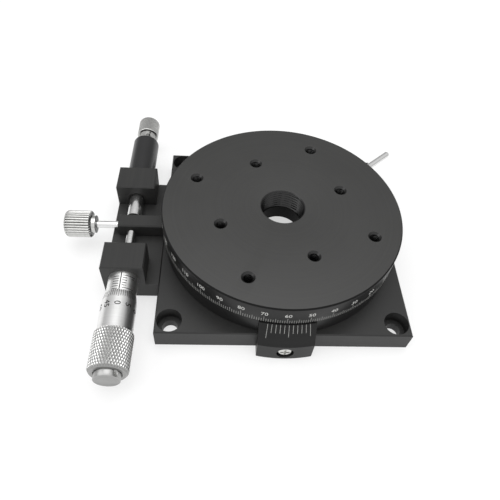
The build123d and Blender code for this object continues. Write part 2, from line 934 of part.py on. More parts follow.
os.makedirs("parts", exist_ok=True)
for name, make in pieces.items():
    export_step(make(), f"parts/{name}.step")
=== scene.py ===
"""Looks of a manual rotation stage: finishes, graduations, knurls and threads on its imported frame.

Sizes are written in millimetres and turned to metres where meshes are made. Angles are in degrees.
"""

import json
import logging
import math
from collections.abc import Callable
from dataclasses import dataclass
from enum import Enum

import bmesh
import bpy
from mathutils import Matrix, Vector

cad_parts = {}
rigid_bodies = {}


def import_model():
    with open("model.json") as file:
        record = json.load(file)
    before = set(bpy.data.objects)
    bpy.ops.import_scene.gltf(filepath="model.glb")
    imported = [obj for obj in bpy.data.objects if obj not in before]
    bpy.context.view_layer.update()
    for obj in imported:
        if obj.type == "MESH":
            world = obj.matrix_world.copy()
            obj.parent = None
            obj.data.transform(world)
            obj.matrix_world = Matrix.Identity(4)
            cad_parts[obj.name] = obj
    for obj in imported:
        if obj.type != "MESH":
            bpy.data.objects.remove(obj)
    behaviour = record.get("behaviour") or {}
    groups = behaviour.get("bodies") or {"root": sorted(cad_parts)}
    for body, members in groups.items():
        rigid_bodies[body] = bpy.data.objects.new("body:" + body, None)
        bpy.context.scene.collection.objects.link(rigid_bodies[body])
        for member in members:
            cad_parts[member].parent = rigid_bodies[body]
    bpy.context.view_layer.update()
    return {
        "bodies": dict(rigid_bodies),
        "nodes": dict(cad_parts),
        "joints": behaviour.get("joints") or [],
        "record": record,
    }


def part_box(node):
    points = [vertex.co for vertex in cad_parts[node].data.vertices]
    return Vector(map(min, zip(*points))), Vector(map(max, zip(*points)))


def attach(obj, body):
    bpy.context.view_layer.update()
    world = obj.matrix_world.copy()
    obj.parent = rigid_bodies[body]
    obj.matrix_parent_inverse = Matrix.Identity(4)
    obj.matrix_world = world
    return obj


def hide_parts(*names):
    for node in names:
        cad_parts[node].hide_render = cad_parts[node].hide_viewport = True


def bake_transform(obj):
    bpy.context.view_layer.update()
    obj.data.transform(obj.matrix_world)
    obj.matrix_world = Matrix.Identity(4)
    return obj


LOG = logging.getLogger("rotation_stage")
MM = 0.001
SHARP_EDGE = math.radians(38)
# Shares of the grain and of the broad patches in a finish, and the noise levels that span its tones.
GRAIN_SHARE, PATCH_SHARE = 0.6, 0.4
NOISE_LOW, NOISE_HIGH = 0.3, 0.7
# A radius beyond every wall, one that counts as the axis itself, and the lead of straight grooves.
BEYOND, ON_AXIS, STRAIGHT = 99.0, 1e-6, 1e6
# Width and relief of the lines on black metal, and the relief of those on chrome.
LINE_WIDTH, LINE_RELIEF, FINE_RELIEF = 0.16, 0.04, 0.03
# Corners that bend less than this, in radians, stay sharp; others take this share of a side at most.
GENTLE_BEND, SIDE_SHARE = 0.2, 0.4
Outline = list[tuple[float, float]]


# Nodes and colours


def srgb(code: str) -> tuple[float, float, float, float]:
    """Turns a colour written as sRGB hex into linear red, green, blue and alpha.

    Args:
        code: six hex digits with a leading hash.

    Returns:
        The linear colour.
    """
    parts = [int(code[i : i + 2], 16) / 255 for i in (1, 3, 5)]
    linear = [p / 12.92 if p <= 0.04045 else ((p + 0.055) / 1.055) ** 2.4 for p in parts]
    return (*linear, 1.0)


def add_node(
    tree: bpy.types.NodeTree, kind: str, feeds: dict | None = None, **settings: object
) -> bpy.types.Node:
    """Adds a node to a tree, with its settings and what feeds it.

    Args:
        tree: node tree that gets the node.
        kind: the node's type name.
        feeds: for each input, by name or number, a node, a socket or a plain value.
        settings: properties of the node itself.

    Returns:
        The new node.
    """
    node = tree.nodes.new(kind)
    for name, value in settings.items():
        setattr(node, name, value)
    for key, value in (feeds or {}).items():
        socket = node.inputs[key]
        if isinstance(value, bpy.types.Node):
            value = value.outputs[0]
        if isinstance(value, bpy.types.NodeSocket):
            tree.links.new(value, socket)
        else:
            socket.default_value = value
    return node


def new_mesh(name: str, shape: bmesh.types.BMesh) -> bpy.types.Mesh:
    """Turns a worked shape into a mesh and frees the shape.

    Args:
        name: the mesh's name.
        shape: the shape.

    Returns:
        The mesh.
    """
    data = bpy.data.meshes.new(name)
    shape.to_mesh(data)
    shape.free()
    return data


def bare_tree(block: bpy.types.Material | bpy.types.World) -> bpy.types.NodeTree:
    """Gets the node tree of a material or world ready.

    Args:
        block: the material or world.

    Returns:
        Its node tree, emptied.
    """
    block.use_nodes = True
    block.node_tree.nodes.clear()
    return block.node_tree


# Axes that round pieces share


@dataclass(frozen=True)
class TurnAxis:
    """An axis that round pieces spin about, in millimetres, and the direction its angles start from."""

    origin: tuple[float, float, float]
    along: tuple[float, float, float]
    start: tuple[float, float, float]

    def frame(self) -> Matrix:
        """Works out how the axis's own space, in metres with Z along it, stands in the part's frame.

        Returns:
            The matrix from that space to the frame.
        """
        along, start = Vector(self.along), Vector(self.start)
        matrix = Matrix((start, along.cross(start), along)).transposed().to_4x4()
        matrix.translation = Vector(self.origin) * MM
        return matrix

    def place(self, radius: float, angle: float, height: float) -> Vector:
        """Finds a point from its cylinder coordinates.

        Args:
            radius: distance from the axis in millimetres.
            angle: angle about the axis in degrees.
            height: distance along the axis in millimetres.

        Returns:
            The point in metres, in the part's frame.
        """
        turn = math.radians(angle)
        local = Vector((radius * math.cos(turn), radius * math.sin(turn), height))
        return self.frame() @ (local * MM)


TABLE_AXIS = TurnAxis((0, 0, 0), (0, 0, 1), (1, 0, 0))
FEED_AXIS = TurnAxis((-57.0, 0, 11.2), (0, -1, 0), (1, 0, 0))
PLUNGER_AXIS = TurnAxis((-57.0, 0, 11.2), (0, 1, 0), (0, 0, 1))
THUMB_AXIS = TurnAxis((0, 0, 11.2), (-1, 0, 0), (0, 0, 1))


# Finishes


class Grain(Enum):
    """How a surface was worked, which sets the pattern it carries."""

    BLASTED = "even fine speckle"
    TURNED = "rings about an axis"
    MILLED = "straight cutter lines"


@dataclass(frozen=True)
class Finish:
    """A surface finish: its material's name, colours, gloss and the grain its working left."""

    name: str
    slot: str
    dark: str
    light: str
    metallic: float
    roughness: tuple[float, float]
    grain: Grain
    grain_size: float
    relief: float
    specular: float = 0.5
    patch_size: float = 14.0
    axis: TurnAxis = TABLE_AXIS

    def material(self) -> bpy.types.Material:
        """Returns the finish's material, made the first time it is asked for."""
        found = bpy.data.materials.get(self.name)
        return found if found else self.build()

    def pattern(self, tree: bpy.types.NodeTree) -> bpy.types.NodeSocket:
        """Adds the nodes of the grain.

        Args:
            tree: the material's node tree.

        Returns:
            The socket that carries the grain from 0 to 1.
        """
        where = add_node(tree, "ShaderNodeTexCoord").outputs["Object"]
        step = self.grain_size * MM
        if self.grain is Grain.BLASTED:
            noise = {"Vector": where, "Scale": 1 / step, "Detail": 3.0, "Roughness": 0.6}
            return add_node(tree, "ShaderNodeTexNoise", noise).outputs[0]
        from_axis = add_node(
            tree,
            "ShaderNodeVectorMath",
            {0: where, 1: [v * MM for v in self.axis.origin]},
            operation="SUBTRACT",
        )
        if self.grain is Grain.TURNED:
            height = add_node(
                tree, "ShaderNodeVectorMath", {0: from_axis, 1: self.axis.along}, operation="DOT_PRODUCT"
            ).outputs["Value"]
            cross = add_node(
                tree, "ShaderNodeVectorMath", {0: from_axis, 1: self.axis.along}, operation="CROSS_PRODUCT"
            )
            radius = add_node(tree, "ShaderNodeVectorMath", {0: cross}, operation="LENGTH").outputs["Value"]
            reach = add_node(tree, "ShaderNodeMath", {0: height, 1: radius}, operation="ADD")
            turns = add_node(tree, "ShaderNodeMath", {0: reach, 1: step}, operation="DIVIDE")
            rings = {"W": turns, "Scale": 1.0, "Detail": 2.0, "Roughness": 0.55}
            return add_node(tree, "ShaderNodeTexNoise", rings, noise_dimensions="1D").outputs[0]
        stretch = [1 / step if abs(v) < 0.5 else 0.03 / step for v in self.axis.along]
        lines = add_node(tree, "ShaderNodeMapping", {"Vector": from_axis, "Scale": stretch})
        return add_node(tree, "ShaderNodeTexNoise", {"Vector": lines, "Scale": 1.0, "Detail": 2.0}).outputs[0]

    def build(self) -> bpy.types.Material:
        """Builds the material.

        Returns:
            A material whose colour, roughness and bump follow the grain and broad faint patches.
        """
        material = bpy.data.materials.new(self.name)
        tree = bare_tree(material)
        grain = self.pattern(tree)
        where = add_node(tree, "ShaderNodeTexCoord").outputs["Object"]
        patches = add_node(
            tree,
            "ShaderNodeTexNoise",
            {"Vector": where, "Scale": 1 / (self.patch_size * MM), "Detail": 2.0},
        )
        blend = add_node(tree, "ShaderNodeMath", {0: grain, 1: GRAIN_SHARE, 2: 0.0}, operation="MULTIPLY_ADD")
        both = add_node(
            tree, "ShaderNodeMath", {0: patches, 1: PATCH_SHARE, 2: blend}, operation="MULTIPLY_ADD"
        )
        spread = add_node(
            tree, "ShaderNodeMapRange", {"Value": both, "From Min": NOISE_LOW, "From Max": NOISE_HIGH}
        ).outputs["Result"]
        tone = add_node(
            tree,
            "ShaderNodeMix",
            {0: spread, 6: srgb(self.dark), 7: srgb(self.light)},
            data_type="RGBA",
        ).outputs[2]
        gloss = add_node(
            tree,
            "ShaderNodeMapRange",
            {"Value": spread, "To Min": self.roughness[0], "To Max": self.roughness[1]},
        ).outputs["Result"]
        bump = add_node(
            tree, "ShaderNodeBump", {"Height": grain, "Strength": 1.0, "Distance": self.relief * MM}
        )
        shader = add_node(
            tree,
            "ShaderNodeBsdfPrincipled",
            {
                "Base Color": tone,
                "Metallic": self.metallic,
                "Roughness": gloss,
                "Specular IOR Level": self.specular,
                "Normal": bump,
            },
        )
        add_node(tree, "ShaderNodeOutputMaterial", {"Surface": shader})
        return material


# Black anodised aluminium, faced on the lathe: deep grey-black with a soft sheen, faint rings about
# the table's axis. Real tool marks are about 0.1 mm apart; 0.9 mm lets them show in the render.
FACED_ANODISED = Finish(
    "black_anodised_aluminium_faced", "black_anodised", "#282827", "#2e2e2d", 0.0, (0.42, 0.49),
    Grain.TURNED, 0.9, 0.0006,
)  # fmt: skip
# Black anodised aluminium, turned on the edge of the table and on the ring below it, its colour darker than
# the faced top's as painted shade: the dark of the black base that these sides mirror.
SIDE_SHADE_ANODISED = Finish(
    "black_anodised_aluminium_turned", "black_anodised", "#161616", "#1c1c1c", 0.0, (0.34, 0.42),
    Grain.TURNED, 0.7, 0.0006, specular=0.25,
)  # fmt: skip
# Black anodised aluminium plate, milled and fine blasted: even, slightly grey. The blast's dimples
# are about 0.1 mm; 0.8 mm lets the speckle show.
BLASTED_ANODISED = Finish(
    "black_anodised_aluminium_blasted", "black_anodised", "#1c1c1c", "#222221", 0.0, (0.42, 0.52),
    Grain.BLASTED, 0.8, 0.0008, specular=0.45,
)  # fmt: skip
# The same plate stock on the upright blocks and the arm, with straight cutter lines along Y.
MILLED_ANODISED = Finish(
    "black_anodised_aluminium_milled", "black_anodised", "#292929", "#30302f", 0.0, (0.40, 0.50),
    Grain.MILLED, 0.8, 0.0008, axis=FEED_AXIS, specular=0.3,
)  # fmt: skip
# Black anodised aluminium tube, turned: a narrow sheen runs along it.
TUBE_ANODISED = Finish(
    "black_anodised_aluminium_tube", "black_anodised", "#161617", "#1d1d1e", 0.0, (0.30, 0.38),
    Grain.TURNED, 0.6, 0.0005, axis=PLUNGER_AXIS,
)  # fmt: skip
# Black anodised aluminium cut by a tap, its colour darkened as painted shade inside the holes: the crests
# shine and the roots stay near black.
BORE_SHADE_ANODISED = Finish(
    "black_anodised_aluminium_tapped", "black_anodised", "#0e0e0e", "#141414", 0.0, (0.24, 0.32),
    Grain.TURNED, 0.6, 0.0003,
)  # fmt: skip
# Black anodised aluminium, bored: matt, its colour painted nearly black as shade inside the hub. The
# table's broken edges have it too, a painted shade that draws its outline as a thin dark line.
NEAR_BLACK_SHADE_ANODISED = Finish(
    "black_anodised_aluminium_bored", "black_anodised", "#0c0c0c", "#121212", 0.0, (0.50, 0.60),
    Grain.TURNED, 0.6, 0.0004, specular=0.15,
)  # fmt: skip
# Satin chrome plate on the micrometer's sleeve and thimble: soft bright bands along the barrel.
# Its rings are about 0.05 mm apart; 0.5 mm lets them show.
SATIN_CHROME = Finish(
    "satin_chrome_plate", "satin_chrome", "#e8e8e7", "#f2f2f1", 1.0, (0.30, 0.38),
    Grain.TURNED, 0.5, 0.0005, axis=FEED_AXIS,
)  # fmt: skip
# The same plate with its colour darkened to grey as painted shade: on the faced ends, the thimble's chamfer
# and the knurl's roots. Fine rings.
SHADED_CHROME = Finish(
    "satin_chrome_plate_faced", "satin_chrome", "#999998", "#a5a5a4", 1.0, (0.34, 0.44),
    Grain.TURNED, 0.5, 0.0006, axis=FEED_AXIS,
)  # fmt: skip
# The same plate on the side of the end cap, its colour darkened below the barrel's as painted shade.
CAP_SIDE_PAINTED_SHADE = Finish(
    "satin_chrome_plate_cap", "satin_chrome", "#a2a2a1", "#aeaead", 1.0, (0.32, 0.40),
    Grain.TURNED, 0.5, 0.0005, axis=FEED_AXIS,
)  # fmt: skip
# The same plate on the rolled knurl: its flats shine, and the roots of its grooves are painted grey as shade.
KNURLED_CHROME = Finish(
    "satin_chrome_plate_knurled", "satin_chrome", "#dededd", "#e8e8e7", 1.0, (0.18, 0.26),
    Grain.TURNED, 0.5, 0.0003, axis=FEED_AXIS,
)  # fmt: skip
# Nickel plated steel knobs, cut with flutes: their crests shine.
NICKEL_KNOB = Finish(
    "nickel_plated_steel_knob", "satin_chrome", "#c2c2c0", "#d2d2d0", 1.0, (0.18, 0.26),
    Grain.TURNED, 0.6, 0.0004, axis=THUMB_AXIS,
)  # fmt: skip
# The inner end of a fluted knob, its colour darkened to a dark ring: a painted reflection of the black blocks
# it faces.
NICKEL_END_PAINTED_SHADE = Finish(
    "nickel_plated_steel_faced", "satin_chrome", "#4a4a4a", "#585857", 1.0, (0.26, 0.34),
    Grain.TURNED, 0.6, 0.0004, axis=THUMB_AXIS,
)  # fmt: skip
# The bottoms of the flutes, their colour darkened as painted shade into fine dark lines along the knob.
NICKEL_GROOVE_PAINTED_SHADE = Finish(
    "nickel_plated_steel_fluted", "satin_chrome", "#6a6a69", "#787877", 1.0, (0.26, 0.34),
    Grain.TURNED, 0.6, 0.0004, axis=THUMB_AXIS,
)  # fmt: skip
# Ground steel rod: nearly a mirror, with faint lines round it.
GROUND_STEEL = Finish(
    "ground_steel_rod", "bright_steel", "#dedede", "#e9e9e8", 1.0, (0.16, 0.24),
    Grain.TURNED, 0.6, 0.0002, axis=FEED_AXIS,
)  # fmt: skip
# Zinc plated screw: bright, slightly milky.
ZINC_SCREW = Finish(
    "zinc_plated_screw", "bright_steel", "#c9c9c6", "#dcdcd9", 1.0, (0.18, 0.30),
    Grain.BLASTED, 0.5, 0.0006,
)  # fmt: skip
# Black oxide steel screws: near black with an oily sheen.
BLACK_OXIDE = Finish(
    "black_oxide_steel_screw", "black_steel", "#1e1e20", "#28282a", 0.6, (0.30, 0.42),
    Grain.BLASTED, 0.5, 0.0008,
)  # fmt: skip
# Ground bearing steel: mirror with rings along the races.
BEARING_STEEL = Finish(
    "ground_bearing_steel", "bearing_steel", "#b9b9b8", "#cbcbca", 1.0, (0.08, 0.16),
    Grain.TURNED, 0.5, 0.0002,
)  # fmt: skip
# Turned brass: warm yellow, fine rings.
TURNED_BRASS = Finish(
    "turned_brass", "brass", "#b08a3e", "#c7a254", 1.0, (0.20, 0.32),
    Grain.TURNED, 0.5, 0.0005, axis=FEED_AXIS,
)  # fmt: skip
# Drawn spring wire: grey steel, evenly dull.
SPRING_WIRE = Finish(
    "drawn_spring_steel", "spring_steel", "#8f8f90", "#a4a4a5", 1.0, (0.25, 0.36),
    Grain.BLASTED, 0.5, 0.0004,
)  # fmt: skip
# Pale paint rubbed into the numbers on black metal: slightly uneven fill.
PALE_FILL = Finish(
    "pale_paint_fill", "black_anodised", "#b9b9b6", "#d6d6d3", 0.0, (0.55, 0.70),
    Grain.BLASTED, 0.5, 0.0004, specular=0.3,
)  # fmt: skip
# Grey fill of the vernier's and the table's finer lines.
GREY_FILL = Finish(
    "grey_paint_fill", "black_anodised", "#8b8b89", "#a6a6a3", 0.0, (0.55, 0.70),
    Grain.BLASTED, 0.5, 0.0004, specular=0.3,
)  # fmt: skip
# Black fill of the lines and numbers cut in the chrome.
BLACK_FILL = Finish(
    "black_paint_fill", "satin_chrome", "#101010", "#1a1a1a", 0.0, (0.60, 0.75),
    Grain.BLASTED, 0.5, 0.0004, specular=0.1,
)  # fmt: skip


# Meshes


def rows(radius: float, low: float, high: float, step: float) -> Outline:
    """Points up a straight wall, close enough together to carry grooves.

    Args:
        radius: the wall's radius.
        low: height of the first point.
        high: height of the last point.
        step: largest distance between two points.

    Returns:
        The points as (radius, height).
    """
    count = max(1, math.ceil(abs(high - low) / step))
    return [(radius, low + (high - low) * i / count) for i in range(count + 1)]


def eased(outline: Outline, amount: float, steps: int = 3) -> Outline:
    """Rounds each corner of a closed outline a little, so that it catches the light.

    Args:
        outline: (radius, height) points.
        amount: distance from the corner at which the rounding starts.
        steps: straight pieces of each rounding.

    Returns:
        The outline with its corners rounded, and its points on the axis left alone.
    """
    result: Outline = []
    for i, point in enumerate(outline):
        before, here, after = (Vector(outline[(i + k) % len(outline)]) for k in (-1, 0, 1))
        way_in, way_out = here - before, after - here
        turned = abs(way_in.angle_signed(way_out)) if way_in.length and way_out.length else 0.0
        if point[0] < ON_AXIS or turned < GENTLE_BEND or amount <= 0:
            result.append(point)
            continue
        cut = min(amount, SIDE_SHARE * way_in.length, SIDE_SHARE * way_out.length)
        first, last = here - way_in.normalized() * cut, here + way_out.normalized() * cut
        for k in range(steps + 1):
            t = k / steps
            bend = first * (1 - t) ** 2 + here * 2 * t * (1 - t) + last * t**2
            result.append((bend.x, bend.y))
    return result


def piece_from_mesh(name: str, mesh: bpy.types.Mesh) -> bpy.types.Object:
    """Links a mesh to the scene as an object at the origin, smooth with sharp edges kept.

    Args:
        name: the object's name.
        mesh: its mesh.

    Returns:
        The object.
    """
    mesh.shade_smooth()
    mesh.set_sharp_from_angle(angle=SHARP_EDGE)
    piece = bpy.data.objects.new(name, mesh)
    bpy.context.scene.collection.objects.link(piece)
    return piece


def turned_piece(
    name: str, outline: Outline, axis: TurnAxis, segments: int = 128, ease: float = 0.06
) -> bpy.types.Object:
    """Spins a closed outline about an axis.

    Args:
        name: the object's name.
        outline: (radius, height) points in millimetres.
        axis: the axis to spin about.
        segments: steps round the axis.
        ease: how far the corners are rounded, in millimetres.

    Returns:
        The turned object, closed, with its faces outwards.
    """
    points = eased(outline, ease)
    mesh = bmesh.new()
    frame = axis.frame()
    loops = []
    for radius, height in points:
        if radius < ON_AXIS:
            pole = mesh.verts.new(frame @ Vector((0, 0, height * MM)))
            loops.append([pole] * segments)
            continue
        ring = []
        for k in range(segments):
            turn = 2 * math.pi * k / segments
            local = Vector((radius * math.cos(turn), radius * math.sin(turn), height)) * MM
            ring.append(mesh.verts.new(frame @ local))
        loops.append(ring)
    for here, after in zip(loops, loops[1:] + loops[:1]):
        for k in range(segments):
            corners = [here[k], here[(k + 1) % segments], after[(k + 1) % segments], after[k]]
            distinct = list(dict.fromkeys(corners))
            if len(distinct) > 2:
                mesh.faces.new(distinct)
    bmesh.ops.recalc_face_normals(mesh, faces=mesh.faces)
    return piece_from_mesh(name, new_mesh(name, mesh))


class Reading(Enum):
    """Which way numbers run on a round surface."""

    AROUND = "across the axis, tops along it"
    ALONG = "along the axis, tops back round it"


def wrapped_number(
    text: str, axis: TurnAxis, radius: float, angle: float, height: float, size: float, reading: Reading
) -> bpy.types.Mesh:
    """Makes a number that lies on a round surface.

    Args:
        text: digits to set.
        axis: the surface's axis.
        radius: the surface's radius in millimetres.
        angle: angle of the number's middle in degrees.
        height: place of its middle along the axis in millimetres.
        size: height of the digits in millimetres.
        reading: which way the digits run.

    Returns:
        The mesh in metres, in the part's frame.
    """
    digit_share = 0.7  # a digit's height as a share of the font's size
    curve = bpy.data.curves.new("digits", "FONT")
    curve.body = text
    curve.align_x = "CENTER"
    curve.align_y = "CENTER"
    curve.size = size / digit_share
    curve.extrude = FINE_RELIEF
    curve.resolution_u = 3
    holder = bpy.data.objects.new("digits", curve)
    bpy.context.scene.collection.objects.link(holder)
    bpy.context.view_layer.update()
    mesh = bpy.data.meshes.new_from_object(holder.evaluated_get(bpy.context.evaluated_depsgraph_get()))
    bpy.data.objects.remove(holder)
    for vertex in mesh.vertices:
        across, up, out = vertex.co
        if reading is Reading.AROUND:
            turn, rise = angle + math.degrees(across / radius), height + up
        else:
            turn, rise = angle - math.degrees(up / radius), height + across
        vertex.co = axis.place(radius + out, turn, rise)
    return mesh


def joined(name: str, meshes: list[bpy.types.Mesh]) -> bpy.types.Object:
    """Joins meshes into one flat shaded object.

    Args:
        name: the object's name.
        meshes: the meshes to join.

    Returns:
        The joined object.
    """
    whole = bmesh.new()
    for mesh in meshes:
        whole.from_mesh(mesh)
    bmesh.ops.remove_doubles(whole, verts=whole.verts, dist=0.002 * MM)
    return piece_from_mesh(name, new_mesh(name, whole))


# Geometry Nodes trees


class Tool(Enum):
    """The shop's node trees, by what they do."""

    GROOVES = "grooves"
    LINES = "lines"
    ARCS = "arcs"
    DRILL = "drill"


class Unit(Enum):
    """What a tree's input holds, with its socket type."""

    LENGTH = ("NodeSocketFloat", "millimetres")
    ANGLE = ("NodeSocketFloat", "degrees")
    NUMBER = ("NodeSocketFloat", "plain number")
    COUNT = ("NodeSocketInt", "whole number")
    POINT = ("NodeSocketVector", "millimetres")
    WAY = ("NodeSocketVector", "direction")
    OBJECT = ("NodeSocketObject", "object")
    MATERIAL = ("NodeSocketMaterial", "material")


INPUTS = {
    Tool.GROOVES: {
        "Origin": Unit.POINT, "Along": Unit.WAY, "Start": Unit.WAY, "Low": Unit.LENGTH,
        "High": Unit.LENGTH, "Inner": Unit.LENGTH, "Outer": Unit.LENGTH, "Depth": Unit.LENGTH,
        "Starts": Unit.NUMBER, "Lead": Unit.LENGTH, "Crossed": Unit.NUMBER, "Crest": Unit.NUMBER,
        "Fade": Unit.LENGTH,
    },
    Tool.LINES: {
        "Count": Unit.COUNT, "Middle Every": Unit.COUNT, "Long Every": Unit.COUNT, "First": Unit.ANGLE,
        "Step": Unit.ANGLE, "Radius": Unit.LENGTH, "Foot": Unit.LENGTH, "Lean": Unit.ANGLE,
        "Width": Unit.LENGTH, "Depth": Unit.LENGTH, "Short": Unit.LENGTH, "Middle": Unit.LENGTH,
        "Long": Unit.LENGTH,
    },
    Tool.ARCS: {
        "Count": Unit.COUNT, "Long Every": Unit.COUNT, "First": Unit.LENGTH, "Pitch": Unit.LENGTH,
        "Start": Unit.ANGLE, "Short Sweep": Unit.ANGLE, "Long Sweep": Unit.ANGLE,
        "Radius": Unit.LENGTH, "Width": Unit.LENGTH, "Depth": Unit.LENGTH,
    },
    Tool.DRILL: {"Object": Unit.OBJECT, "Count": Unit.COUNT, "Radius": Unit.LENGTH, "First": Unit.ANGLE},
}  # fmt: skip


def new_tree(tool: Tool) -> tuple[bpy.types.NodeTree, bpy.types.Node]:
    """Starts a Geometry Nodes tree with the tool's named inputs and a material.

    Args:
        tool: which tree.

    Returns:
        The tree and its input node.
    """
    tree = bpy.data.node_groups.new(tool.value, "GeometryNodeTree")
    tree.interface.new_socket(name="Geometry", in_out="OUTPUT", socket_type="NodeSocketGeometry")
    tree.interface.new_socket(name="Geometry", in_out="INPUT", socket_type="NodeSocketGeometry")
    for label, unit in (INPUTS[tool] | {"Material": Unit.MATERIAL}).items():
        tree.interface.new_socket(name=label, in_out="INPUT", socket_type=unit.value[0])
    return tree, add_node(tree, "NodeGroupInput")


def close_tree(tree: bpy.types.NodeTree, shape: bpy.types.NodeSocket, given: bpy.types.Node) -> None:
    """Ends a tree in Realize Instances and Set Material.

    Args:
        tree: the tree to end.
        shape: what it has made.
        given: its input node, with the material.
    """
    real = add_node(tree, "GeometryNodeRealizeInstances", {0: shape})
    dressed = add_node(
        tree, "GeometryNodeSetMaterial", {"Geometry": real, "Material": given.outputs["Material"]}
    )
    add_node(tree, "NodeGroupOutput", {0: dressed})


def grooves_tree() -> bpy.types.NodeTree:
    """Tree that cuts helical or straight V grooves into a round wall: knurls, flutes and threads.

    Returns:
        The tree. Low, High, Inner and Outer bound the wall that is cut.
    """
    tree, given = new_tree(Tool.GROOVES)
    get = given.outputs
    spot = add_node(tree, "GeometryNodeInputPosition")
    local = add_node(tree, "ShaderNodeVectorMath", {0: spot, 1: get["Origin"]}, operation="SUBTRACT")
    side = add_node(
        tree, "ShaderNodeVectorMath", {0: get["Along"], 1: get["Start"]}, operation="CROSS_PRODUCT"
    )
    height, east, north = (
        add_node(tree, "ShaderNodeVectorMath", {0: local, 1: way}, operation="DOT_PRODUCT").outputs["Value"]
        for way in (get["Along"], get["Start"], side)
    )
    turn = add_node(tree, "ShaderNodeMath", {0: north, 1: east}, operation="ARCTAN2")
    out_east = add_node(tree, "ShaderNodeVectorMath", {0: get["Start"], "Scale": east}, operation="SCALE")
    out_north = add_node(tree, "ShaderNodeVectorMath", {0: side, "Scale": north}, operation="SCALE")
    outward = add_node(tree, "ShaderNodeVectorMath", {0: out_east, 1: out_north}, operation="ADD")
    radius = add_node(tree, "ShaderNodeVectorMath", {0: outward}, operation="LENGTH").outputs["Value"]
    unit = add_node(tree, "ShaderNodeVectorMath", {0: outward}, operation="NORMALIZE")
    around = add_node(tree, "ShaderNodeMath", {0: turn, 1: 2 * math.pi}, operation="DIVIDE")
    cuts = add_node(tree, "ShaderNodeMath", {0: around, 1: get["Starts"]}, operation="MULTIPLY")
    climb = add_node(tree, "ShaderNodeMath", {0: height, 1: get["Lead"]}, operation="DIVIDE")
    slant = add_node(tree, "ShaderNodeMath", {0: climb, 1: get["Starts"]}, operation="MULTIPLY")
    waves = []
    for way in ("ADD", "SUBTRACT"):
        phase = add_node(tree, "ShaderNodeMath", {0: cuts, 1: slant}, operation=way)
        wave = add_node(tree, "ShaderNodeMath", {0: phase, 1: 0.5}, operation="PINGPONG")
        waves.append(add_node(tree, "ShaderNodeMath", {0: wave, 1: 2.0}, operation="MULTIPLY"))
    uncrossed = add_node(tree, "ShaderNodeMath", {0: 1.0, 1: get["Crossed"]}, operation="SUBTRACT")
    second = add_node(tree, "ShaderNodeMath", {0: waves[1], 1: uncrossed}, operation="MAXIMUM")
    crest = add_node(tree, "ShaderNodeMath", {0: waves[0], 1: second}, operation="MINIMUM")
    flat = add_node(tree, "ShaderNodeMath", {0: crest, 1: get["Crest"]}, operation="MULTIPLY")
    capped = add_node(tree, "ShaderNodeMath", {0: flat, 1: 1.0}, operation="MINIMUM")
    cut = add_node(tree, "ShaderNodeMath", {0: 1.0, 1: capped}, operation="SUBTRACT")
    parts = [cut, get["Depth"]]
    for limit, sign in ((get["Low"], 1.0), (get["High"], -1.0)):
        edge = add_node(tree, "ShaderNodeMath", {0: height, 1: limit}, operation="SUBTRACT")
        inside = add_node(tree, "ShaderNodeMath", {0: edge, 1: sign}, operation="MULTIPLY")
        fades = {0: inside, 1: get["Fade"]}
        parts.append(add_node(tree, "ShaderNodeMath", fades, operation="DIVIDE", use_clamp=True))
    parts.append(add_node(tree, "ShaderNodeMath", {0: radius, 1: get["Inner"]}, operation="GREATER_THAN"))
    parts.append(add_node(tree, "ShaderNodeMath", {0: radius, 1: get["Outer"]}, operation="LESS_THAN"))
    depth = parts[0]
    for part in parts[1:]:
        depth = add_node(tree, "ShaderNodeMath", {0: depth, 1: part}, operation="MULTIPLY")
    inward = add_node(tree, "ShaderNodeMath", {0: depth, 1: -1.0}, operation="MULTIPLY")
    shift = add_node(tree, "ShaderNodeVectorMath", {0: unit, "Scale": inward}, operation="SCALE")
    moved = add_node(tree, "GeometryNodeSetPosition", {"Geometry": get["Geometry"], "Offset": shift})
    close_tree(tree, moved, given)
    return tree


def ring_points(
    tree: bpy.types.NodeTree, given: bpy.types.Node, step: bpy.types.NodeSocket | bpy.types.Node,
    foot: bpy.types.NodeSocket | float,
) -> tuple[bpy.types.Node, bpy.types.Node]:  # fmt: skip
    """Adds points in a ring about Z.

    Args:
        tree: the tree to add to.
        given: its input node, with Count, Radius and First.
        step: the angle from one point to the next.
        foot: the height of the points.

    Returns:
        The node that gives the points, and the node that gives their angles.
    """
    get = given.outputs
    index = add_node(tree, "GeometryNodeInputIndex")
    sweep = add_node(tree, "ShaderNodeMath", {0: index, 1: step}, operation="MULTIPLY")
    angle = add_node(tree, "ShaderNodeMath", {0: sweep, 1: get["First"]}, operation="ADD")
    east, north = (
        add_node(
            tree,
            "ShaderNodeMath",
            {0: add_node(tree, "ShaderNodeMath", {0: angle}, operation=way), 1: get["Radius"]},
            operation="MULTIPLY",
        )
        for way in ("COSINE", "SINE")
    )
    place = add_node(tree, "ShaderNodeCombineXYZ", {0: east, 1: north, 2: foot})
    return add_node(tree, "GeometryNodePoints", {"Count": get["Count"], "Position": place}), angle


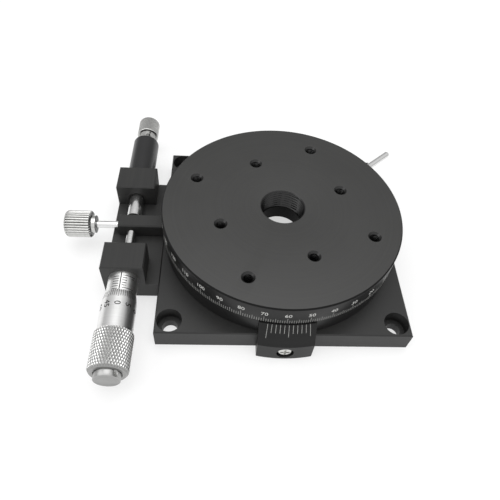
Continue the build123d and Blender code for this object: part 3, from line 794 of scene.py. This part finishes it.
def lines_tree() -> bpy.types.NodeTree:
    """Tree that lays graduation lines in a ring on a cylinder or cone, in the axis's own space.

    Returns:
        The tree. Every Middle Every-th line is middle, every Long Every-th is long.
    """
    tree, given = new_tree(Tool.LINES)
    get = given.outputs
    index = add_node(tree, "GeometryNodeInputIndex")
    points, angle = ring_points(tree, given, get["Step"], get["Foot"])
    length = get["Short"]
    for every, size in ((get["Middle Every"], get["Middle"]), (get["Long Every"], get["Long"])):
        left = add_node(tree, "ShaderNodeMath", {0: index, 1: every}, operation="MODULO")
        hit = add_node(tree, "ShaderNodeMath", {0: left, 1: 0.5}, operation="LESS_THAN")
        length = add_node(
            tree, "ShaderNodeMapRange", {"Value": hit, "To Min": length, "To Max": size}
        ).outputs["Result"]
    scale = add_node(tree, "ShaderNodeCombineXYZ", {0: get["Depth"], 1: get["Width"], 2: length})
    swing = add_node(tree, "ShaderNodeCombineXYZ", {1: get["Lean"], 2: angle})
    turn = add_node(tree, "FunctionNodeEulerToRotation", {0: swing})
    bar = add_node(tree, "GeometryNodeMeshCube")
    footed = add_node(tree, "GeometryNodeTransform", {0: bar, "Translation": (0, 0, 0.5)})
    lines = add_node(
        tree,
        "GeometryNodeInstanceOnPoints",
        {"Points": points, "Instance": footed, "Rotation": turn, "Scale": scale},
    )
    close_tree(tree, lines, given)
    return tree


def arcs_tree() -> bpy.types.NodeTree:
    """Tree that lays graduation arcs one after the other along a barrel, in the axis's own space.

    Returns:
        The tree. Every Long Every-th arc has the long sweep.
    """
    tree, given = new_tree(Tool.ARCS)
    get = given.outputs
    index = add_node(tree, "GeometryNodeInputIndex")
    rise = add_node(tree, "ShaderNodeMath", {0: index, 1: get["Pitch"]}, operation="MULTIPLY")
    height = add_node(tree, "ShaderNodeMath", {0: rise, 1: get["First"]}, operation="ADD")
    place = add_node(tree, "ShaderNodeCombineXYZ", {2: height})
    points = add_node(tree, "GeometryNodePoints", {"Count": get["Count"], "Position": place})
    left = add_node(tree, "ShaderNodeMath", {0: index, 1: get["Long Every"]}, operation="MODULO")
    section = add_node(
        tree, "GeometryNodeCurvePrimitiveQuadrilateral", {"Width": get["Width"], "Height": get["Depth"]}
    )
    groups = []
    for sweep, test in (("Short Sweep", "GREATER_THAN"), ("Long Sweep", "LESS_THAN")):
        arc = add_node(
            tree,
            "GeometryNodeCurveArc",
            {
                "Resolution": 24,
                "Radius": get["Radius"],
                "Start Angle": get["Start"],
                "Sweep Angle": get[sweep],
            },
        )
        band = add_node(tree, "GeometryNodeCurveToMesh", {0: arc, 1: section, "Fill Caps": True})
        chosen = add_node(tree, "ShaderNodeMath", {0: left, 1: 0.5}, operation=test)
        groups.append(
            add_node(
                tree,
                "GeometryNodeInstanceOnPoints",
                {"Points": points, "Instance": band, "Selection": chosen},
            )
        )
    both = add_node(tree, "GeometryNodeJoinGeometry")
    for group in groups:
        tree.links.new(group.outputs[0], both.inputs[0])
    close_tree(tree, both, given)
    return tree


def drill_tree() -> bpy.types.NodeTree:
    """Tree that cuts a ring of holes, each in the shape of a cutter, out of a body.

    Returns:
        The tree. Its Object is the cutter.
    """
    tree, given = new_tree(Tool.DRILL)
    get = given.outputs
    step = add_node(tree, "ShaderNodeMath", {0: 2 * math.pi, 1: get["Count"]}, operation="DIVIDE")
    points, angle = ring_points(tree, given, step, 0.0)
    swing = add_node(tree, "ShaderNodeCombineXYZ", {2: angle})
    turn = add_node(tree, "FunctionNodeEulerToRotation", {0: swing})
    shape = add_node(tree, "GeometryNodeObjectInfo", {"Object": get["Object"]}).outputs["Geometry"]
    ring = add_node(
        tree, "GeometryNodeInstanceOnPoints", {"Points": points, "Instance": shape, "Rotation": turn}
    )
    cutters = add_node(tree, "GeometryNodeRealizeInstances", {0: ring})
    cut = add_node(
        tree,
        "GeometryNodeMeshBoolean",
        {"Mesh 1": get["Geometry"], "Mesh 2": cutters},
        operation="DIFFERENCE",
        solver="EXACT",
    )
    close_tree(tree, cut, given)
    return tree


MAKERS = {Tool.GROOVES: grooves_tree, Tool.LINES: lines_tree, Tool.ARCS: arcs_tree, Tool.DRILL: drill_tree}


def worked(piece: bpy.types.Object, tool: Tool, **values: object) -> bpy.types.Object:
    """Runs a node tree on a piece and keeps the plain mesh.

    Args:
        piece: the object to work on.
        tool: which tree.
        values: the tree's inputs, with spaces as underscores; lengths in millimetres, angles in degrees.

    Returns:
        The same object, with its new mesh and no modifier.
    """
    tree = bpy.data.node_groups.get(tool.value) or MAKERS[tool]()
    modifier = piece.modifiers.new(tool.value, "NODES")
    modifier.node_group = tree
    for item in tree.interface.items_tree:
        label = item.name.replace(" ", "_")
        if item.in_out != "INPUT" or label not in values:
            continue
        value, unit = values[label], INPUTS[tool].get(item.name)
        if unit is Unit.LENGTH:
            value = float(value) * MM
        elif unit is Unit.ANGLE:
            value = math.radians(value)
        elif unit is Unit.NUMBER:
            value = float(value)
        elif unit is Unit.POINT:
            value = [float(v) * MM for v in value]
        elif unit is Unit.WAY:
            value = [float(v) for v in value]
        modifier[item.identifier] = value
    mesh = bpy.data.meshes.new_from_object(
        piece.evaluated_get(bpy.context.evaluated_depsgraph_get()), preserve_all_data_layers=False
    )
    piece.modifiers.clear()
    spent, piece.data = piece.data, mesh
    bpy.data.meshes.remove(spent)
    mesh.name = piece.name
    mesh.shade_smooth()
    mesh.set_sharp_from_angle(angle=SHARP_EDGE)
    return piece


def grooved(
    piece: bpy.types.Object, axis: TurnAxis, finish: Finish, low: float, high: float,
    walls: tuple[float, float], depth: float, starts: int, lead: float = STRAIGHT,
    crossed: bool = False, crest: float = 1.0, fade: float = 0.3,
) -> bpy.types.Object:  # fmt: skip
    """Cuts grooves into one round wall of a piece.

    Args:
        piece: the turned piece.
        axis: its axis.
        finish: its finish.
        low: where the grooves start along the axis.
        high: where they end.
        walls: smallest and largest radius that is cut.
        depth: depth of the grooves; negative cuts a bore outwards.
        starts: grooves round the axis.
        lead: length in which a groove turns once; straight if left out.
        crossed: cuts a second set the other way, for a diamond knurl.
        crest: 1 leaves sharp crests, more leaves flats between narrower grooves.
        fade: run-out at both ends.

    Returns:
        The same piece.
    """
    return worked(
        piece, Tool.GROOVES, Origin=axis.origin, Along=axis.along, Start=axis.start, Low=low, High=high,
        Inner=walls[0], Outer=walls[1], Depth=depth, Starts=starts, Lead=lead, Crossed=crossed,
        Crest=crest, Fade=fade, Material=finish.material(),
    )  # fmt: skip


def fitted(
    piece: bpy.types.Object, body: str, finish: Finish, replaces: tuple[str, ...] = ()
) -> bpy.types.Object:
    """Gives a finished piece its material and body, and hides the CAD nodes it stands for.

    Args:
        piece: the object.
        body: CAD body that it moves with.
        finish: its finish.
        replaces: CAD nodes that it takes the place of.

    Returns:
        The same piece.
    """
    piece.data.materials.clear()
    piece.data.materials.append(finish.material())
    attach(piece, body)
    if replaces:
        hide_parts(*replaces)
    LOG.info("%s on %s: %d faces, %s", piece.name, body, len(piece.data.polygons), finish.name)
    return piece


def graduated(
    name: str, tool: Tool, axis: TurnAxis, body: str, finish: Finish, **values: float
) -> bpy.types.Object:
    """Lays graduations on a round surface.

    Args:
        name: the object's name.
        tool: the tree that makes them, lines or arcs.
        axis: the surface's axis.
        body: CAD body that they move with.
        finish: their fill.
        values: inputs of the tree.

    Returns:
        The graduations, in the part's frame.
    """
    piece = piece_from_mesh(name, bpy.data.meshes.new(name))
    worked(piece, tool, Material=finish.material(), **values)
    piece.data.transform(axis.frame())
    return fitted(piece, body, finish)


def refaced(piece: bpy.types.Object, finish: Finish, chosen: Callable[[bpy.types.MeshPolygon], bool]) -> None:
    """Gives a second finish to some faces of a fitted piece.

    Args:
        piece: the object.
        finish: the finish of the chosen faces.
        chosen: says of a face whether it gets the finish.
    """
    piece.data.materials.append(finish.material())
    slot = len(piece.data.materials) - 1
    for face in piece.data.polygons:
        if chosen(face):
            face.material_index = slot


def reach_from(axis: TurnAxis) -> Callable[[bpy.types.MeshPolygon], float]:
    """Returns a function that says how far a face's middle is from an axis, in millimetres.

    Args:
        axis: the axis.

    Returns:
        The function.
    """
    inverse = axis.frame().inverted()
    return lambda face: (inverse @ face.center).xy.length / MM


def own_copy(name: str, node: bpy.types.Object) -> bpy.types.Object:
    """Copies a CAD node's shape into a piece whose faces can differ in finish.

    Args:
        name: the piece's name.
        node: the CAD node's object.

    Returns:
        The piece, with its doubled corners merged.
    """
    mesh = bmesh.new()
    mesh.from_mesh(node.data)
    bmesh.ops.remove_doubles(mesh, verts=mesh.verts, dist=0.001 * MM)
    return piece_from_mesh(name, new_mesh(name, mesh))


def dress(frame: dict, finishes: dict[str, Finish]) -> None:
    """Gives CAD nodes that keep their own shape a finish.

    Args:
        finishes: finish of each node.
    """
    for node, finish in finishes.items():
        for slot in frame["nodes"][node].material_slots:
            slot.material = finish.material()
        LOG.info("%s keeps its shape: %s", node, finish.name)


# Sub-assemblies


@dataclass
class RotaryTable:
    """Round table: graduated and numbered edge, eight tapped holes, threaded centre hole."""

    frame: dict
    edge_chamfer: float = 0.45
    lower_chamfer: float = 0.2
    bore_radius: float = 8.0
    bore_pitch: float = 1.2
    bore_thread_depth: float = 0.6
    tap_radius: float = 1.7
    tap_depth: float = 7.0
    tap_chamfer: float = 0.75
    tap_pitch: float = 0.7
    tap_thread_depth: float = 0.28
    tap_point: float = 1.02
    tap_segments: int = 36
    tap_rows: int = 6
    bore_rows: int = 7
    grid: float = 25.0
    grid_turn: float = 22.3
    zero_azimuth: float = -30.7
    number_size: float = 1.75
    number_height: float = 20.6
    segments: int = 240
    corner_ease: float = 0.08

    def __post_init__(self) -> None:
        """Reads the table's size from the frame."""
        low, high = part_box("rotary_table")
        self.radius = (high.x - low.x) / 2 / MM
        self.bottom, self.top = low.z / MM, high.z / MM

    def cutter(self) -> bpy.types.Object:
        """Makes a threaded drill and countersink in the shape of one tapped hole.

        Returns:
            The cutter, at the table's middle.
        """
        floor = self.top - self.tap_depth
        wide = self.tap_radius + self.tap_chamfer
        lip = 0.5
        outline = [(0.0, floor - self.tap_point)]
        outline += rows(self.tap_radius, floor, self.top - self.tap_chamfer, self.tap_pitch / self.tap_rows)
        outline += [(wide, self.top), (wide + lip, self.top + lip), (0.0, self.top + lip)]
        drill = turned_piece("tap_cutter", outline, TABLE_AXIS, self.tap_segments, 0.0)
        return grooved(
            drill, TABLE_AXIS, FACED_ANODISED, floor - 1, self.top - self.tap_chamfer - 0.15,
            (self.tap_radius * 0.9, self.tap_radius * 1.1), -self.tap_thread_depth, 1, self.tap_pitch,
        )  # fmt: skip

    def disc(self) -> None:
        """Turns the table, threads its centre hole and drills the tapped holes."""
        lead_in = self.edge_chamfer
        outline = rows(self.bore_radius, self.bottom, self.top - lead_in, self.bore_pitch / self.bore_rows)
        outline += [
            (self.bore_radius + lead_in, self.top),
            (self.radius - self.edge_chamfer, self.top),
            (self.radius, self.top - self.edge_chamfer),
            (self.radius, self.bottom + self.lower_chamfer),
            (self.radius - self.lower_chamfer, self.bottom),
        ]
        disc = turned_piece("rotary_table_disc", outline, TABLE_AXIS, self.segments, self.corner_ease)
        grooved(
            disc, TABLE_AXIS, FACED_ANODISED, self.bottom - 1, self.top - lead_in - 0.1,
            (self.bore_radius * 0.98, self.bore_radius * 1.02), -self.bore_thread_depth, 1, self.bore_pitch,
        )  # fmt: skip
        cutter = self.cutter()
        for ring, turn in ((self.grid, self.grid_turn), (self.grid * math.sqrt(2), self.grid_turn + 45)):
            worked(
                disc, Tool.DRILL, Object=cutter, Count=4, Radius=ring, First=turn,
                Material=FACED_ANODISED.material(),
            )  # fmt: skip
        bpy.data.objects.remove(cutter)
        fitted(disc, "table", FACED_ANODISED, ("rotary_table",))
        rim, upright, level = self.radius - 1, 0.3, 0.97
        low, high = self.bottom + 0.05, self.top - 0.02
        reach = reach_from(TABLE_AXIS)
        # The table's upright edge takes the darker copy of the anodising: painted shade.
        refaced(disc, SIDE_SHADE_ANODISED, lambda face: reach(face) > rim and abs(face.normal.z) < upright)
        # The table's chamfers are painted near black: painted shade that outlines the table.
        refaced(disc, NEAR_BLACK_SHADE_ANODISED, lambda face: reach(face) > rim and upright < abs(face.normal.z) < level)
        # The walls of the tapped holes and the centre hole are painted darker: painted shade inside them.
        refaced(disc, BORE_SHADE_ANODISED, lambda face: reach(face) < rim and low < face.center.z / MM < high)

    def graduations(self) -> None:
        """Lays a line at every degree round the edge and a number at every tenth."""
        graduated(
            "table_degree_lines", Tool.LINES, TABLE_AXIS, "table", GREY_FILL,
            Count=360, Middle_Every=5, Long_Every=10,
            First=self.zero_azimuth, Step=-1.0, Radius=self.radius, Foot=self.bottom + self.lower_chamfer,
            Lean=0.0, Width=LINE_WIDTH, Depth=LINE_RELIEF, Short=1.7, Middle=2.3, Long=2.9,
        )  # fmt: skip
        numbers = [
            wrapped_number(
                str(value), TABLE_AXIS, self.radius, self.zero_azimuth - value, self.number_height,
                self.number_size, Reading.AROUND,
            )
            for value in range(0, 360, 10)
        ]  # fmt: skip
        fitted(joined("table_degree_numbers", numbers), "table", PALE_FILL)

    def build(self) -> None:
        """Builds the table and dresses the hub and screws under it."""
        self.disc()
        self.graduations()
        # The hub is painted near black and its nut darker than the table's top, both as painted shade.
        dress(self.frame, {"table_hub": NEAR_BLACK_SHADE_ANODISED, "hub_screws": BLACK_OXIDE, "hub_nut": SIDE_SHADE_ANODISED})


@dataclass
class Base:
    """Base plate with the housing ring, the side bracket and the screws that hold them."""

    frame: dict

    def build(self) -> None:
        """Dresses the fixed body's nodes."""
        dress(
            self.frame,
            {
                "base_plate": BLASTED_ANODISED,
                # The housing ring takes the darker copy of the anodising: painted shade.
                "housing_ring": SIDE_SHADE_ANODISED,
                "micrometer_bracket": MILLED_ANODISED,
                "housing_screws": BLACK_OXIDE,
                "bracket_screws": BLACK_OXIDE,
                "bracket_set_screws": BLACK_OXIDE,
            },
        )


@dataclass
class Bearing:
    """Ball bearing between base and hub."""

    frame: dict

    def build(self) -> None:
        """Dresses the bearing."""
        dress(
            self.frame,
            {
                "bearing_outer_race": BEARING_STEEL,
                "bearing_inner_race": BEARING_STEEL,
                "bearing_balls": BEARING_STEEL,
                "bearing_cage": TURNED_BRASS,
                # The cover takes the darker copy of the anodising: painted shade.
                "bearing_cover": SIDE_SHADE_ANODISED,
            },
        )


@dataclass
class Vernier:
    """Vernier block on the base's front: eleven lines on its bevel, and its screw."""

    frame: dict
    top_radius: float = 45.45
    front_radius: float = 50.0
    top: float = 15.65
    edge: float = 8.4
    middle_azimuth: float = -89.6
    step: float = 1.8

    def build(self) -> None:
        """Dresses the block and lays its lines from the bevel's top edge down."""
        # The vernier block takes the darker copy of the anodising: painted shade.
        dress(self.frame, {"vernier_block": SIDE_SHADE_ANODISED, "vernier_screw": ZINC_SCREW})
        lean = math.degrees(math.atan2(self.front_radius - self.top_radius, self.edge - self.top))
        graduated(
            "vernier_lines", Tool.LINES, TABLE_AXIS, "base", GREY_FILL,
            Count=11, Middle_Every=5, Long_Every=11,
            First=self.middle_azimuth - 5 * self.step, Step=self.step, Radius=self.top_radius,
            Foot=self.top, Lean=lean, Width=LINE_WIDTH, Depth=LINE_RELIEF, Short=3.2, Middle=4.5, Long=5.4,
        )  # fmt: skip


@dataclass
class Micrometer:
    """Micrometer head: graduated sleeve, thimble with diamond knurled grip, cap, spindle and ball."""

    frame: dict
    sleeve_radius: float = 5.2
    bore: float = 5.3
    edge_wall: float = 0.12
    barrel_radius: float = 5.9
    bevel: float = 3.0
    grip_radius: float = 6.55
    barrel_length: float = 14.2
    end_chamfer: float = 0.8
    end_bore: float = 4.6
    end_recess: float = 0.8
    end_wall: float = 1.8
    tail_radius: float = 1.5
    knurl_starts: int = 42
    knurl_slope: float = 25.0
    knurl_depth: float = 0.34
    knurl_root: float = 0.19
    knurl_rows: int = 14
    knurl_segments: int = 10
    divisions: int = 50
    thimble_zero: float = 85.0
    number_place: float = 5.5
    number_size: float = 2.1
    zero: float = 27.1
    index_angle: float = 88.0
    index_foot: float = 25.9
    index_length: float = 16.0
    sleeve_number_angle: float = 42.0
    sleeve_number_shift: float = 0.75
    sleeve_number_size: float = 1.0

    def __post_init__(self) -> None:
        """Reads the thimble's ends from the frame, as distances along the feed axis."""
        low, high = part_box("micrometer_thimble")
        self.front, self.end = -high.y / MM, -low.y / MM

    def thimble(self) -> None:
        """Turns the thimble, knurls its grip and marks its bevel."""
        grip = self.front + self.barrel_length
        rim = self.end - self.end_chamfer
        recess = self.end - self.end_recess
        wall = recess - self.end_wall
        outline = [
            (self.bore, self.front),
            (self.bore + self.edge_wall, self.front),
            (self.barrel_radius, self.front + self.bevel),
            (self.barrel_radius, grip),
            (self.grip_radius - 0.2, grip),
        ]
        lead = 2 * math.pi * self.grip_radius / math.tan(math.radians(self.knurl_slope))
        outline += rows(self.grip_radius, grip + 0.2, rim, lead / self.knurl_starts / self.knurl_rows)
        outline += [
            (self.grip_radius - self.end_chamfer * k / 6, rim + self.end_chamfer * k / 6) for k in range(1, 7)
        ]
        outline += [
            (self.end_bore, self.end),
            (self.end_bore, recess),
            (self.tail_radius, recess),
            (self.tail_radius, wall),
            (self.bore, wall),
        ]
        around = self.knurl_starts * self.knurl_segments
        thimble = turned_piece("micrometer_thimble_knurled", outline, FEED_AXIS, around, 0.05)
        grooved(
            thimble, FEED_AXIS, SATIN_CHROME, grip, self.end + 0.2, (self.barrel_radius + 0.15, BEYOND),
            self.knurl_depth, self.knurl_starts, lead, crossed=True, crest=1.2, fade=0.35,
        )  # fmt: skip
        fitted(thimble, "thimble", SATIN_CHROME, ("micrometer_thimble",))
        refaced(thimble, KNURLED_CHROME, lambda face: face.center.y / MM < -grip)
        reach, root = reach_from(FEED_AXIS), self.grip_radius - self.knurl_root
        # The roots of the knurl, and beyond them the chamfer and the end, are painted grey as shade.
        refaced(thimble, SHADED_CHROME, lambda face: -rim < face.center.y / MM < -grip and reach(face) < root)
        refaced(thimble, SHADED_CHROME, lambda face: face.center.y / MM < -rim - 0.05)
        run = self.barrel_radius - self.bore - self.edge_wall
        step = 360 / self.divisions
        graduated(
            "thimble_lines", Tool.LINES, FEED_AXIS, "thimble", BLACK_FILL,
            Count=self.divisions, Middle_Every=5, Long_Every=5,
            First=self.thimble_zero, Step=-step, Radius=self.bore + self.edge_wall, Foot=self.front,
            Lean=math.degrees(math.atan2(run, self.bevel)), Width=0.13, Depth=FINE_RELIEF,
            Short=2.6, Middle=self.bevel, Long=self.bevel,
        )  # fmt: skip
        numbers = [
            wrapped_number(
                str(value), FEED_AXIS, self.barrel_radius, self.thimble_zero - step * value,
                self.front + self.number_place, self.number_size, Reading.ALONG,
            )
            for value in range(0, self.divisions, 5)
        ]  # fmt: skip
        fitted(joined("thimble_numbers", numbers), "thimble", BLACK_FILL)

    def sleeve_scale(self) -> None:
        """Marks the sleeve: index line, millimetre arcs on one side, half millimetres on the other."""
        graduated(
            "sleeve_index_line", Tool.LINES, FEED_AXIS, "base", BLACK_FILL,
            Count=1, Middle_Every=1, Long_Every=1,
            First=self.index_angle, Step=1.0, Radius=self.sleeve_radius, Foot=self.index_foot, Lean=0.0,
            Width=0.32, Depth=FINE_RELIEF, Short=self.index_length, Middle=self.index_length,
            Long=self.index_length,
        )  # fmt: skip
        for name, first, start, short, long in (
            ("sleeve_millimetre_arcs", self.zero, 81.0, -17.0, -48.0),
            ("sleeve_half_millimetre_arcs", self.zero + 0.5, 95.0, 23.0, 23.0),
        ):
            graduated(
                name, Tool.ARCS, FEED_AXIS, "base", BLACK_FILL,
                Count=14, Long_Every=5, First=first, Pitch=1.0, Start=start,
                Short_Sweep=short, Long_Sweep=long, Radius=self.sleeve_radius, Width=FINE_RELIEF, Depth=0.24,
            )  # fmt: skip
        numbers = [
            wrapped_number(
                str(value), FEED_AXIS, self.sleeve_radius, self.sleeve_number_angle,
                self.zero + value + self.sleeve_number_shift, self.sleeve_number_size, Reading.ALONG,
            )
            for value in (0, 5, 10)
        ]  # fmt: skip
        fitted(joined("sleeve_numbers", numbers), "base", BLACK_FILL)

    def cap(self) -> None:
        """Gives the end cap a side darkened below the barrel's and an end painted grey, both as painted
        shade.
        """
        cap = own_copy("micrometer_faced_cap", self.frame["nodes"]["micrometer_end_cap"])
        # The cap's side takes the darker copy of the plate: painted shade.
        fitted(cap, "thimble", CAP_SIDE_PAINTED_SHADE, ("micrometer_end_cap",))
        # The cap's end face is painted grey as shade.
        refaced(cap, SHADED_CHROME, lambda face: face.normal.y < -0.9)

    def build(self) -> None:
        """Builds the thimble and the scales, and dresses the rest."""
        self.thimble()
        self.cap()
        self.sleeve_scale()
        dress(
            self.frame,
            {
                "micrometer_sleeve": SATIN_CHROME,
                "end_cap_screw": ZINC_SCREW,
                "micrometer_spindle": GROUND_STEEL,
                "micrometer_nut": TURNED_BRASS,
                "micrometer_tip_ball": BEARING_STEEL,
            },
        )


@dataclass
class Plunger:
    """Spring plunger: black tube, bright rod, spring and fluted pull knob."""

    frame: dict
    knob_radius: float = 4.6
    recess_radius: float = 3.3
    recess_depth: float = 1.2
    stem_radius: float = 0.9
    near_chamfer: float = 0.25
    far_chamfer: float = 0.7
    end_wall: float = 1.4
    flutes: int = 42
    flute_depth: float = 0.16

    def knob(self) -> None:
        """Turns the pull knob and cuts its fine flutes."""
        low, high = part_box("plunger_knob")
        near, far = low.y / MM, high.y / MM
        inner_end = far - self.end_wall
        outline = [
            (self.stem_radius, near + self.recess_depth),
            (self.recess_radius, near + self.recess_depth),
            (self.recess_radius, near),
            (self.knob_radius - self.near_chamfer, near),
        ]
        outline += rows(self.knob_radius, near + self.near_chamfer, far - self.far_chamfer, 0.8)
        outline += [
            (self.knob_radius - self.far_chamfer, far),
            (0.0, far),
            (0.0, inner_end),
            (self.stem_radius, inner_end),
        ]
        knob = turned_piece("plunger_pull_knob", outline, PLUNGER_AXIS, self.flutes * 6, 0.12)
        grooved(
            knob, PLUNGER_AXIS, NICKEL_KNOB, near, far, (self.knob_radius - 0.5, BEYOND),
            self.flute_depth, self.flutes, crest=1.6, fade=0.4,
        )  # fmt: skip
        fitted(knob, "plunger", NICKEL_KNOB, ("plunger_knob",))

    def build(self) -> None:
        """Builds the knob and the spring, and dresses the rest."""
        self.knob()
        self.spring()
        dress(
            self.frame,
            {"plunger_tube": TUBE_ANODISED, "plunger_end_plug": TUBE_ANODISED, "plunger_rod": GROUND_STEEL},
        )

    def spring(self) -> None:
        """Copies the spring into a piece of its own with the spring wire finish, and hides its CAD node."""
        spring = own_copy("plunger_coil_spring", self.frame["nodes"]["plunger_spring"])
        spring.data.materials.append(SPRING_WIRE.material())
        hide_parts("plunger_spring")
        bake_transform(spring)
        LOG.info("%s between plunger and base: %s", spring.name, SPRING_WIRE.name)


@dataclass
class ClampArm:
    """Arm under the table with its thumbscrew, and the lock screw at the back."""

    frame: dict
    knob_radius: float = 5.15
    collar_radius: float = 3.4
    collar_length: float = 1.5
    rod_radius: float = 1.4
    near_chamfer: float = 0.5
    rounding: float = 1.5
    flutes: int = 30
    flute_depth: float = 0.46
    flute_root: float = 0.2

    def knob(self) -> None:
        """Turns the thumbscrew's knob with its collar and cuts its flutes."""
        low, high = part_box("thumbscrew_knob")
        near, far = -high.x / MM, -low.x / MM
        step = near + self.collar_length
        start = far - self.rounding
        outline = [
            (self.rod_radius, near),
            (self.collar_radius, near),
            (self.collar_radius, step),
            (self.knob_radius - self.near_chamfer, step),
        ]
        outline += rows(self.knob_radius, step + self.near_chamfer, start, 0.8)
        outline += [
            (
                self.knob_radius - self.rounding * (1 - math.cos(math.radians(a))),
                start + self.rounding * math.sin(math.radians(a)),
            )
            for a in range(15, 91, 15)
        ]
        outline += [(0.0, far), (0.0, step), (self.rod_radius, step)]
        knob = turned_piece("thumbscrew_fluted_knob", outline, THUMB_AXIS, self.flutes * 8, 0.1)
        grooved(
            knob, THUMB_AXIS, NICKEL_KNOB, step - 0.6, far, (self.knob_radius - 1.0, BEYOND),
            self.flute_depth, self.flutes, crest=1.7, fade=0.4,
        )  # fmt: skip
        fitted(knob, "thumbscrew", NICKEL_KNOB, ("thumbscrew_knob",))
        # The knob's inner end is painted dark: a painted reflection of the black blocks.
        refaced(knob, NICKEL_END_PAINTED_SHADE, lambda face: face.normal.x > 0.5)
        # The roots of the flutes are painted darker: painted shade in the grooves.
        reach, root, start = reach_from(THUMB_AXIS), self.knob_radius - self.flute_root, step + 0.1
        refaced(
            knob, NICKEL_GROOVE_PAINTED_SHADE,
            lambda face: abs(face.normal.x) < 0.3 and -face.center.x / MM > start and reach(face) < root,
        )  # fmt: skip

    def build(self) -> None:
        """Builds the knob and dresses arm, rods and pads."""
        self.knob()
        dress(
            self.frame,
            {
                "clamp_arm": MILLED_ANODISED,
                "thumbscrew_rod": GROUND_STEEL,
                "lock_screw": GROUND_STEEL,
                "thumb_pad": TURNED_BRASS,
                "lock_pad": TURNED_BRASS,
            },
        )


@dataclass
class Studio:
    """White floor, soft light and the camera."""

    camera_place: tuple[float, float, float] = (-23.968, -123.125, 154.598)
    camera_turn: tuple[float, float, float] = (38.0748, -3.9364, -1.2333)
    lens: float = 34.565
    floor_size: float = 6.0
    floor_colour: str = "#fbfbfb"
    floor_glow: float = 0.6
    floor_drop: float = 0.00002
    bright_way: tuple[float, float, float] = (0.0, -0.45, 0.893)
    sky_rise: tuple[float, float] = (-0.05, 0.75)
    sky_level: tuple[float, float] = (0.38, 1.02)
    lamps: tuple[tuple[str, tuple[float, float, float], float, float], ...] = (
        ("softbox_over", (0.0, 0.06, 0.74), 0.66, 2.3),
        ("softbox_left", (-0.55, -0.10, 0.45), 0.4, 0.6),
    )

    def seen(self, tree: bpy.types.NodeTree) -> bpy.types.NodeSocket:
        """Adds nodes that tell where a surface is seen directly, in a reflection or through glass.

        Args:
            tree: the node tree that gets them.

        Returns:
            The socket that gives 1 there and 0 elsewhere.
        """
        path = add_node(tree, "ShaderNodeLightPath").outputs
        mirrored = add_node(
            tree, "ShaderNodeMath", {0: path["Is Camera Ray"], 1: path["Is Glossy Ray"]}, operation="MAXIMUM"
        )
        through = {0: mirrored, 1: path["Is Transmission Ray"]}
        return add_node(tree, "ShaderNodeMath", through, operation="MAXIMUM").outputs[0]

    def floor(self) -> None:
        """Lays a wide white floor just under the base; seen directly it is half lit from within."""
        mesh = bmesh.new()
        bmesh.ops.create_grid(mesh, x_segments=2, y_segments=2, size=self.floor_size / 2)
        data = new_mesh("studio_floor", mesh)
        floor = bpy.data.objects.new("studio_floor", data)
        bpy.context.scene.collection.objects.link(floor)
        floor.location.z = -self.floor_drop
        material = bpy.data.materials.new("white_paper_floor")
        tree = bare_tree(material)
        paper = add_node(tree, "ShaderNodeBsdfDiffuse", {"Color": srgb(self.floor_colour)})
        glow = add_node(tree, "ShaderNodeEmission", {"Color": srgb("#ffffff"), "Strength": 1.0})
        lit = add_node(tree, "ShaderNodeMixShader", {0: self.floor_glow, 1: paper, 2: glow})
        add_node(
            tree,
            "ShaderNodeOutputMaterial",
            {"Surface": add_node(tree, "ShaderNodeMixShader", {0: self.seen(tree), 1: paper, 2: lit})},
        )
        data.materials.append(material)

    def world(self) -> None:
        """Sets a pale sky, darker behind and at the horizon in what it lights, and white where it is seen."""
        world = bpy.data.worlds.new("studio_sky")
        bpy.context.scene.world = world
        tree = bare_tree(world)
        way = add_node(tree, "ShaderNodeTexCoord").outputs["Generated"]
        rise = add_node(
            tree, "ShaderNodeVectorMath", {0: way, 1: self.bright_way}, operation="DOT_PRODUCT"
        ).outputs["Value"]
        level = add_node(
            tree,
            "ShaderNodeMapRange",
            {
                "Value": rise, "From Min": self.sky_rise[0], "From Max": self.sky_rise[1],
                "To Min": self.sky_level[0], "To Max": self.sky_level[1],
            },  # fmt: skip
        ).outputs["Result"]
        direct = add_node(tree, "ShaderNodeLightPath").outputs["Is Camera Ray"]
        strength = add_node(tree, "ShaderNodeMath", {0: level, 1: direct}, operation="MAXIMUM")
        sky = add_node(tree, "ShaderNodeBackground", {"Color": srgb("#ffffff"), "Strength": strength})
        add_node(tree, "ShaderNodeOutputWorld", {"Surface": sky})

    def lamp(self, name: str, place: Vector, size: float, power: float) -> None:
        """Hangs a square soft lamp that faces the object.

        Args:
            name: the lamp's name.
            place: where it hangs, in metres.
            size: its side in metres.
            power: its power in watts.
        """
        light = bpy.data.lights.new(name, "AREA")
        light.shape = "SQUARE"
        light.size = size
        light.energy = power
        holder = bpy.data.objects.new(name, light)
        holder.location = place
        holder.rotation_euler = (-place).to_track_quat("-Z", "Y").to_euler()
        bpy.context.scene.collection.objects.link(holder)

    def camera(self) -> None:
        """Sets the camera at the photograph's viewing angle."""
        data = bpy.data.cameras.new("camera")
        data.lens = self.lens
        data.sensor_width = 36.0
        data.clip_start = 0.001
        camera = bpy.data.objects.new("camera", data)
        camera.location = Vector(self.camera_place) * MM
        camera.rotation_euler = [math.radians(v) for v in self.camera_turn]
        bpy.context.scene.collection.objects.link(camera)
        bpy.context.scene.camera = camera

    def build(self) -> None:
        """Builds the studio."""
        self.floor()
        self.world()
        for name, place, size, power in self.lamps:
            self.lamp(name, Vector(place), size, power)
        self.camera()
        bpy.context.scene.view_settings.view_transform = "Standard"


def main() -> None:
    """Builds the scene in order."""
    logging.basicConfig(level=logging.INFO, format="%(message)s")
    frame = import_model()
    Studio().build()
    for assembly in (RotaryTable, Base, Bearing, Vernier, Micrometer, Plunger, ClampArm):
        assembly(frame).build()


if __name__ == "__main__":
    main()
